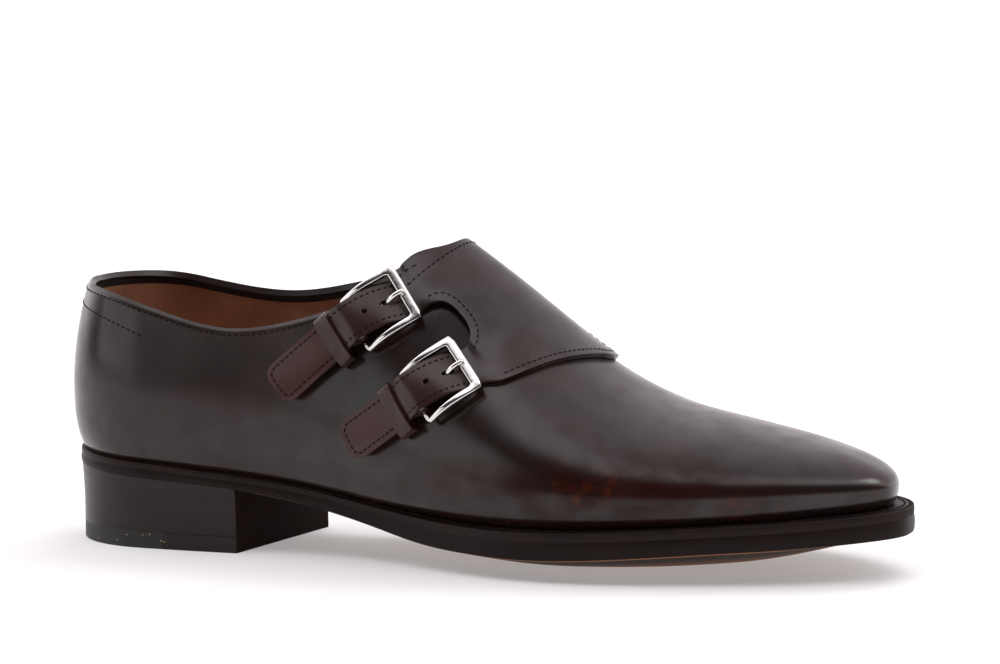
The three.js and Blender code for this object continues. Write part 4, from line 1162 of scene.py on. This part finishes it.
# %% Tabs
def make_tab(name):
    lift, thickness = 2.1, 0.8
    strap = STRAPS[name]
    centre = strap["rise"] + HINGE_H
    middle = HINGE_RADIUS + 0.3 + thickness / 2
    turns = np.linspace(0.06, 0.94, 20) * 2 * np.pi
    run_s = np.linspace(42, 24, 22)
    run = list(zip(run_s, lift + (0.6 - lift) * smoothstep(run_s, 31, 36.5) + thickness / 2))
    roll = [(HINGE_S + middle * math.cos(a), centre - middle * math.sin(a)) for a in -turns[::-1]]
    rows = run + roll
    tab, u, v = cut_sheet("buckle_tab_" + name + "_leather", 12, len(rows) - 1)
    row = np.rint(v * (len(rows) - 1)).astype(int)
    s, h = np.array(rows).T
    round_end = 6.0 - 3.0 * (1 - np.sqrt(1 - np.clip((s[row] - 39) / 3, 0, 1) ** 2))
    lay(tab, strap["soft"](s[row], (2 * u - 1) * round_end, h[row]))
    alone(tab)
    bpy.ops.object.mode_set(mode="EDIT")
    bpy.ops.mesh.select_all(action="DESELECT")
    bpy.ops.object.mode_set(mode="OBJECT")
    for face in tab.data.polygons:
        column, line = face.index % 12, face.index // 12
        face.select = column in (5, 6) and line >= len(run) + 2
    bpy.ops.object.mode_set(mode="EDIT")
    bpy.ops.mesh.select_mode(type="FACE")
    bpy.ops.mesh.delete(type="FACE")
    bpy.ops.mesh.select_mode(type="VERT")
    bpy.ops.object.mode_set(mode="OBJECT")
    apply_modifier(tab, "SOLIDIFY", thickness=thickness * MM, offset=0)
    soften(tab, 0.18, 2, 60)
    mark(tab, "dry", np.full(len(tab.data.vertices), 0.7))
    return claim(tab, "buckle_tab_" + name, CALF)

# %% Keepers
KEEPER = {"s": 28.0, "length": 5.0, "thick": 1.1, "slack": 1.3}

def make_keeper(name):
    loop, u, v = cut_sheet("strap_keeper_" + name + "_loop", 72, 8)
    s = KEEPER["s"] + (v - 0.5) * (KEEPER["length"] - 0.1)
    top = STRAP_RISE.h(s) + STRAP_THICKNESS + 0.3 + KEEPER["thick"]
    bottom, half = 0.95, (STRAP_WIDTH + 0.6 + KEEPER["slack"]) / 2 + 1.35
    turn = (u + 0.01) * 2 * np.pi
    c, z = np.cos(turn), np.sin(turn)
    across = KEEPER["slack"] / 2 + half * np.sign(c) * np.abs(c) ** (2 / 7.0)
    up = (top + bottom) / 2 + (top - bottom) / 2 * np.sign(z) * np.abs(z) ** (2 / 4.5)
    lay(loop, STRAPS[name]["space"](s, across, up))
    weld(loop, recalculate=True)
    face_out(loop)
    apply_modifier(loop, "SOLIDIFY", thickness=0.95 * MM, offset=-1)
    soften(loop, 0.26, 3, 60)
    mark(loop, "dry", np.full(len(loop.data.vertices), 0.6))
    return claim(loop, "strap_keeper_" + name, CALF)

for name in STRAPS:
    print(make_tab(name).name, make_keeper(name).name)

# %% [markdown]
# ## Sole, welt and heel
# Under the foot lie flat pieces that all follow the last's edge: the insole, the welt with its stitches, the
# sole and the heel's lifts. Each is a grid whose columns go round the foot and whose rows go round the
# piece's own outline, from its middle over the top, down its edge and back underneath.

# %% The sole's edge
EDGE = Table(
    "x lat med lower centre welt",
    [
        (2, 1, 1, 26.4, 26.4, 2),
        (40, 1.8, 1.8, 23.9, 23.9, 2),
        (75, 2, 1.5, 21.4, 21.4, 2),
        (107, 2, 1, 16.2, 15, 2),
        (125, 2.6, 1.8, 12.4, 9.8, 2.2),
        (143, 4.2, 3.2, 9.2, 5.6, 2.6),
        (164, 5.4, 4.4, 7.9, 1.6, 3),
        (184, 6, 5, 7.6, -0.6, 3),
        (202, 6, 5, 8.2, -0.6, 3),
        (224, 6, 5, 9.6, 0.4, 3),
        (245, 6, 5.4, 11, 2.4, 3),
        (264, 6.2, 6, 12.2, 5.2, 3),
        (282, 6.8, 6.6, 13.5, 8.8, 3),
        (304, 7.2, 7.2, 15, 13.4, 3),
    ],
)

GROOVE_DEPTH = 0.05

def edge_reach(p, side):
    """How far the sole stands out past the last."""
    x, *_ = plan(p, side)
    return np.where(side < 0, EDGE.lat(x), EDGE.med(x))

def camber(x, share, edge_z):
    return edge_z + (EDGE.centre(x) - EDGE.lower(x)) * (1 - share * share)

def sole_bottom(x, share):
    return np.maximum(camber(x, share, EDGE.lower(x)), 0)

def sole_top(x, share):
    return camber(x, share, LAST.feather(x) - 0.35 - EDGE.welt(x))

def welt_top(x, share):
    return LAST.feather(x) - 0.3 + 0 * share

def level(height):
    return lambda x, share: height + 0 * x * share

def slab(
    name,
    top,
    bottom,
    columns=360,
    inset=0.0,
    inside_last=None,
    hollow=None,
    bulge=0.35,
    corners=(0.45, 0.45),
    grooves=(),
    across=7,
    taper=0.0,
):
    """A slab under the foot, between two heights, with its edge an inset from the sole's in mm.

    inside_last sets the edge inside the last's own instead, and hollow opens the middle from that many mm
    inside the last's edge. A taper of one brings the edge out to the sole's at the top.
    """
    rows = []
    for share in np.linspace(0, 1, across)[:-1]:
        rows.append((share, 0.0, 1.0, 0.0))
    corner = corners[0]
    rows.append((1.0, -corner, 1.0, 0.0))
    rows.append((1.0, -corner * 0.3, 1.0, -corner * 0.12))
    rows.append((1.0, 0.0, 1.0, -corner * 0.55))
    beside_grooves = [g + d for g in grooves for d in (-0.03, 0, 0.03)]
    heights = sorted({*np.linspace(0.9, 0.1, 7), *beside_grooves}, reverse=True)
    for t in heights:
        dent = GROOVE_DEPTH if any(abs(t - g) < 1e-6 for g in grooves) else 0.0
        rows.append((1.0, bulge * (1 - (2 * t - 1) ** 2) - dent, t, 0.0))
    corner = corners[1]
    rows.append((1.0, 0.0, 0.0, corner * 0.55))
    rows.append((1.0, -corner * 0.3, 0.0, corner * 0.12))
    rows.append((1.0, -corner, 0.0, 0.0))
    for share in np.linspace(1, 0, across)[1:]:
        rows.append((share, 0.0, 0.0, 0.0))
    if hollow is not None:
        rows.append(rows[0])
    table = np.array(rows)
    piece, u, v = cut_sheet(name, columns, len(rows) - 1)
    side = np.where(u < 0.5, -1.0, 1.0)
    p = np.clip(np.abs(1 - 2 * u), 0.0, 1.0)
    share, out, up, lift = table[np.rint(v * (len(rows) - 1)).astype(int)].T
    x, centre_x, centre_y, ux, uy, radius = plan(p, side)
    edge = radius + edge_reach(p, side)
    rim_radius = edge - inset * (1 - taper * up) if inside_last is None else radius - inside_last
    inner = 0.0 if hollow is None else radius - hollow
    r = np.maximum(inner + (rim_radius - inner) * share + out, 0)
    spot_x, spot_y = centre_x + ux * r, centre_y + uy * r
    part = np.clip(r / edge, 0, 1.02)
    under_x = centre_x + ux * np.minimum(r, radius)
    high, low = top(under_x, part), bottom(under_x, part)
    # The distance in from the sole's edge, which the sole's finish reads to paint shade in a band near the
    # edge.
    mark(piece, "from_edge", edge - r)
    lay(piece, np.stack([spot_x, spot_y, low + (high - low) * up + lift], -1) + SHIFT)
    return weld(piece, 0.03 * MM, recalculate=True)

def cut_behind(piece, x, turn=0.0, keep_back=True):
    """Cut a piece square with a saw and keep the part behind the line, or the part in front."""
    angle = math.radians(turn)
    with editing(piece):
        bpy.ops.mesh.bisect(
            plane_co=((x + SHIFT[0]) * MM, SHIFT[1] * MM, 0),
            plane_no=(math.cos(angle), -math.sin(angle), 0),
            use_fill=True,
            clear_outer=keep_back,
            clear_inner=not keep_back,
            threshold=1e-6,
        )
    return piece

# %% Sole, welt and rand
WELT_END_X = 72.0

def strip(name):
    """The strip between upper and sole, all the way round the foot."""
    return slab(
        name,
        welt_top,
        lambda x, share: sole_top(x, share) + 0.02,
        columns=420,
        hollow=2.2,
        bulge=0.15,
        corners=(0.35, 0.03),
        across=4,
    )

sole = slab("outsole_leather", sole_top, sole_bottom, columns=420, corners=(0.03, 0.5), bulge=0.3, across=14)
claim(sole, "outsole", SOLE)
welt = strip("welt_strip")
rand = strip("rand_strip")
cut_behind(welt, WELT_END_X + 0.01, keep_back=False)
cut_behind(rand, WELT_END_X)
claim(welt, "welt", EDGE_INK)
claim(rand, "heel_rand", EDGE_INK)
insole = slab(
    "insole_leather",
    lambda x, share: LAST.feather(x) + 1.0 + 0.5 * (EDGE.centre(x) - EDGE.lower(x)) * (1 - share**2),
    lambda x, share: sole_top(x, share) + 0.3,
    columns=240,
    bulge=0.0,
    inside_last=2.65,
)
print("sole and welt:", len(sole.data.polygons), len(welt.data.polygons))

# %% Heel
HEEL_BREAST_X, HEEL_TURN, RUBBER_X = 76.3, 7.5, 45.0
stack = slab(
    "heel_lifts",
    lambda x, share: EDGE.lower(x) + 0.33,
    level(5.82),
    inset=0.6,
    bulge=-0.25,
    corners=(0.06, 0.06),
    grooves=(0.9, 0.76),
    taper=1.0,
)
cut_behind(stack, HEEL_BREAST_X, HEEL_TURN)
rubber = slab("heel_rubber_corner", level(5.78), level(0), inset=0.62, bulge=0.0, corners=(0.12, 0.4))
leather = slab("heel_top_lift", level(5.78), level(0), inset=0.62, bulge=0.0, corners=(0.12, 0.4))
cut_behind(rubber, RUBBER_X)
cut_behind(leather, HEEL_BREAST_X, HEEL_TURN)
cut_behind(leather, RUBBER_X + 0.12, keep_back=False)
claim(stack, "heel_stack", HEEL_INK)
claim(rubber, "heel_top_rubber", RUBBER)
claim(leather, "heel_top_leather", HEEL_INK)
mark(insole, "below_collar", np.full(len(insole.data.vertices), 99.0))
claim(insole, "insole", LINING)
print("heel:", len(stack.data.polygons))

# %% [markdown]
# ## Stitches
# Every seam is a row of real stitches, each a small rounded bead of waxed thread pulled a little into the
# leather. One bead is modelled, and a seam is a mesh of its copies, set along a line at an even pitch. A
# seam is given as the line it follows and the way up of the leather there.

# %% One stitch, and a seam of them
def one_stitch(length, width, height):
    """A bead of thread, as its points in mm and its faces."""
    bpy.ops.object.select_all(action="DESELECT")
    lying = (0, math.pi / 2, 0)
    bpy.ops.mesh.primitive_uv_sphere_add(
        segments=6, ring_count=5, radius=0.5, location=(0, 0, 0), rotation=lying
    )
    bead = bpy.context.object
    bpy.ops.object.transform_apply(rotation=True)
    points = points_of(bead) * (length, width, height)
    faces = [tuple(face.vertices) for face in bead.data.polygons]
    bpy.data.objects.remove(bead)
    return points, faces

def set_beads(name, bead, spots, axes, material):
    """One mesh with a copy of a bead at every spot; the axes are its length, width and height there."""
    points, faces = bead
    places = spots[:, None]
    for i, axis in enumerate(axes):
        places = places + points[None, :, i : i + 1] * axis[:, None]
    copies = [tuple(i + k * len(points) for i in face) for k in range(len(spots)) for face in faces]
    mesh = bpy.data.meshes.new(name)
    mesh.from_pydata((places.reshape(-1, 3) * MM).tolist(), [], copies)
    mesh.update()
    piece = bpy.data.objects.new(name, mesh)
    bpy.context.collection.objects.link(piece)
    mesh.materials.append(material)
    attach(piece, "root")
    return piece

def sew(
    name,
    line,
    normals,
    pitch=2.2,
    size=(1.65, 0.55, 0.42),
    rise=0.06,
    material=THREAD,
    across=False,
    slot="upper_leather",
):
    """Set beads along a line at an even pitch, or across it."""
    line, normals = np.asarray(line), unit(np.asarray(normals))
    steps = np.concatenate([[0], np.cumsum(np.linalg.norm(np.diff(line, axis=0), axis=1))])
    count = max(int(steps[-1] / pitch), 1)
    at = (np.arange(count) + 0.5) * steps[-1] / count

    def sampled(rows, at):
        return np.stack([np.interp(at, steps, rows[:, i]) for i in range(3)], -1)

    ahead = sampled(line, at + 0.4) - sampled(line, at - 0.4)
    up = unit(sampled(normals, at))
    ahead = unit(ahead - up * (ahead * up).sum(-1, keepdims=True))
    side = np.cross(up, ahead)
    if across:
        ahead, side = side, -ahead
    spots = sampled(line, at) + up * rise
    smooth(set_beads(name, one_stitch(*size), spots, (ahead, side, up), material), 80)
    return count

# %% Seams round the collar and on the inner quarter
def collar_line(side, drop, from_p, to_p, count=220):
    """A line on the upper, a drop in mm under the collar's edge."""
    p = np.linspace(from_p, to_p, count)
    v = collar_share(p, side + 0 * p, drop)
    points = last_point(p, v, side)
    rise = inner_quarter_rise(points, v) if side > 0 else 0 * p
    return off_last(p, v, side, rise), last_normal(p, v, side)

THROAT_P = station_at(THROAT_X)
beads = 0
for side, label, end in ((-1.0, "outer", THROAT_P - 0.012), (1.0, "inner", THROAT_P - 0.05)):
    beads += sew("collar_seam_" + label, *collar_line(side, 2.4, 0.0, end))
    back = station_at(HEEL_X) + 0.004
    beads += sew("counter_seam_" + label, *collar_line(side, np.linspace(6.2, 10.2, 220), 0.0, back))

def flat_line(along, round_, height=None):
    """A line of the flat layout, on the flap's outer face or at a height."""
    round_ = np.asarray(round_, float) + 0 * np.asarray(along)
    height = flap_height(round_) if height is None else height
    points = lay_flat_place(along, round_, height)
    return points, lay_flat_place(along, round_, height + 1.0) - points

front_round = np.linspace(-11, -104, 160)
quarter_front = np.where(front_round < -62, INNER_QUARTER.front(front_round), FLAP.front(front_round))
quarter_height = 0.85 + 1.3 * smoothstep(front_round, -62, -32)
beads += sew("quarter_seam_inner", *flat_line(quarter_front - 2.4, front_round, quarter_height))
print("stitches round the collar:", beads)

# %% Seams on the flap
beads = 0
top_round = np.linspace(-58, 29.5, 160)
top_seam = np.where(top_round < 0, FLAP.top(top_round), FLAP.top(0) - 0.07 * top_round) + 2.2
beads += sew("flap_top_seam", *flat_line(top_seam, top_round))
second = np.linspace(21, 29, 30)
beads += sew("flap_top_seam_second", *flat_line(FLAP.top(second) + 2.2, second))
front = np.linspace(-9.5, 30.0, 120)
lean = FLAP_LEAN * np.clip(front, 0, SLOT_END) / SLOT_END
lean_front = front + lean * (FLAP.front(front) - SLOT_CENTRE)
beads += sew("flap_front_seam", *flat_line(FLAP.front(front) - 2.4, lean_front))
for i, row in enumerate((-13.5, -17.5)):
    bar_along = np.linspace(FLAP.front(row) - 2.6, FLAP.front(row) - 13.5, 20)
    beads += sew(f"flap_bar_seam_{i + 1}", *flat_line(bar_along, row))
KEYHOLE_MARGIN, KEYHOLE_SEAM_END = 2.5, 33.5
turn = np.linspace(-0.5, 0.5, 120) * np.pi
wide = np.sign(np.sin(turn)) * np.abs(np.sin(turn)) ** (2 / SLOT_ROUNDNESS)
deep = np.cos(turn) ** (2 / SLOT_ROUNDNESS)
seam_row = SLOT_END + SLOT_DEPTH - (SLOT_DEPTH + KEYHOLE_MARGIN) * deep
keep = seam_row < KEYHOLE_SEAM_END
seam_along = SLOT_CENTRE + (SLOT_HALF + KEYHOLE_MARGIN) * wide[keep]
seam_round = seam_row[keep] + FLAP_LEAN * (seam_along - SLOT_CENTRE)
seam_height = FLAP_OUT + keyhole_lift(seam_round, seam_along)
beads += sew("keyhole_seam", *flat_line(seam_along, seam_round, seam_height))

def strap_line(name, s, w):
    space, height = STRAPS[name]["space"], STRAP_RISE.h(s) + STRAP_THICKNESS
    points = space(s, w, height)
    return points, space(s, w, height + 1.0) - points

for name, strap in STRAPS.items():
    inset, tip = 1.8, strap["tip"]
    end = tip - STRAP_CORNER
    bend = np.linspace(0, np.pi / 2, 14)
    corner = STRAP_CORNER - inset
    half = STRAP_WIDTH / 2 - inset
    s = np.concatenate([np.linspace(3.4, end, 70), end + corner * np.sin(bend)])
    w = np.concatenate([np.full(70, -half), -half + corner * (1 - np.cos(bend))])
    s, w = np.concatenate([s, s[::-1]]), np.concatenate([w, -w[::-1]])
    beads += sew(f"strap_seam_{name}", *strap_line(name, s, w), pitch=2.1)
print("stitches on the flap and straps:", beads)

# %% Raised rims of the spare holes
def hole_rim(name):
    """The punch pushes up a small soft rim round a hole."""
    bpy.ops.object.select_all(action="DESELECT")
    bpy.ops.mesh.primitive_torus_add(
        major_radius=1.22, minor_radius=0.34, major_segments=20, minor_segments=8, location=(0, 0, 0)
    )
    rim = bpy.context.object
    rim.name = rim.data.name = "hole_rim_" + name
    s, w, h = points_of(rim).T
    space = STRAPS[name]["space"]
    s = s + SPARE_HOLE_S
    lay(rim, space(s, w, STRAP_RISE.h(s) + STRAP_THICKNESS + h - 0.06))
    mark(rim, "dry", np.full(len(rim.data.vertices), 0.8))
    rim.data.materials.append(CALF)
    smooth(weld(rim, 0.001 * MM, recalculate=True), 80)
    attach(rim, "root")

for name in STRAPS:
    hole_rim(name)

# %% [markdown]
# The welt is sewn to the sole with coarser thread, and a hot wheel then presses a notch between every two
# stitches, which gives the edge its fine teeth.

# %% Welt stitches and wheel marks
def welt_line(side, out, lift, from_x=108.0, count=400):
    p = np.linspace(station_at(from_x), 1.0, count)
    x, centre_x, centre_y, ux, uy, radius = plan(p, side)
    r = radius + edge_reach(p, side) * out
    place = np.stack([centre_x + ux * r, centre_y + uy * r, LAST.feather(x) - 0.3 + lift], -1) + SHIFT
    return place, np.array([(0, 0, 1.0)] * count)

beads = 0
for side, label in ((-1.0, "outer"), (1.0, "inner")):
    stitches, marks = welt_line(side, 0.55, 0.0), welt_line(side, 0.86, -0.08)
    beads += sew("welt_seam_" + label, *stitches, pitch=2.5, size=(2.0, 0.75, 0.6), slot="welt_leather")
    beads += sew(
        "wheel_marks_" + label,
        *marks,
        pitch=1.25,
        size=(1.5, 0.62, 0.62),
        material=EDGE_INK,
        across=True,
        slot="welt_leather",
    )
print("stitches and marks on the welt:", beads)

# %% Brass pins in the heel
def pins():
    """Small pins hold the rubber corner; they just show on its side."""
    spots = [(0.1, 1.4), (0.131, 2.1), (0.1435, 4.3), (0.161, 4.6), (0.169, 4.9), (0.182, 2.9), (0.1855, 2.6)]
    line, out = [], []
    for side in (-1.0, 1.0):
        for p, z in spots:
            x, centre_x, centre_y, ux, uy, radius = plan(np.array(p), side)
            r = radius + edge_reach(np.array(p), side) - 0.66
            line.append((centre_x + ux * r + SHIFT[0], centre_y + uy * r + SHIFT[1], z))
            out.append((float(ux), float(uy), 0.0))
    return np.array(line), np.array(out)

pin_spots, out = pins()
upright = np.zeros_like(out) + (0, 0, 1.0)
axes = (unit(np.cross(out, upright)), upright, out)
set_beads("heel_pins", one_stitch(0.55, 0.55, 0.3), pin_spots, axes, BRASS)
print("pins:", len(pin_spots))

# %% [markdown]
# ## The floor's finish

# %% Floor finish
paper = Finish("pale_floor")
tooth = paper.noise(3, 2)
floor.data.materials.append(
    paper.paint(
        Base_Color=paper.mix(tooth, (0.70, 0.70, 0.70), (0.72, 0.72, 0.72)),
        Roughness=0.75,
        Specular_IOR_Level=0.1,
        Emission_Color=paper.mix(paper.near((0, 0, 0), (1500, 1500, 1500)), (1, 1, 1), (0, 0, 0)),
        Emission_Strength=0.3,
    )
)
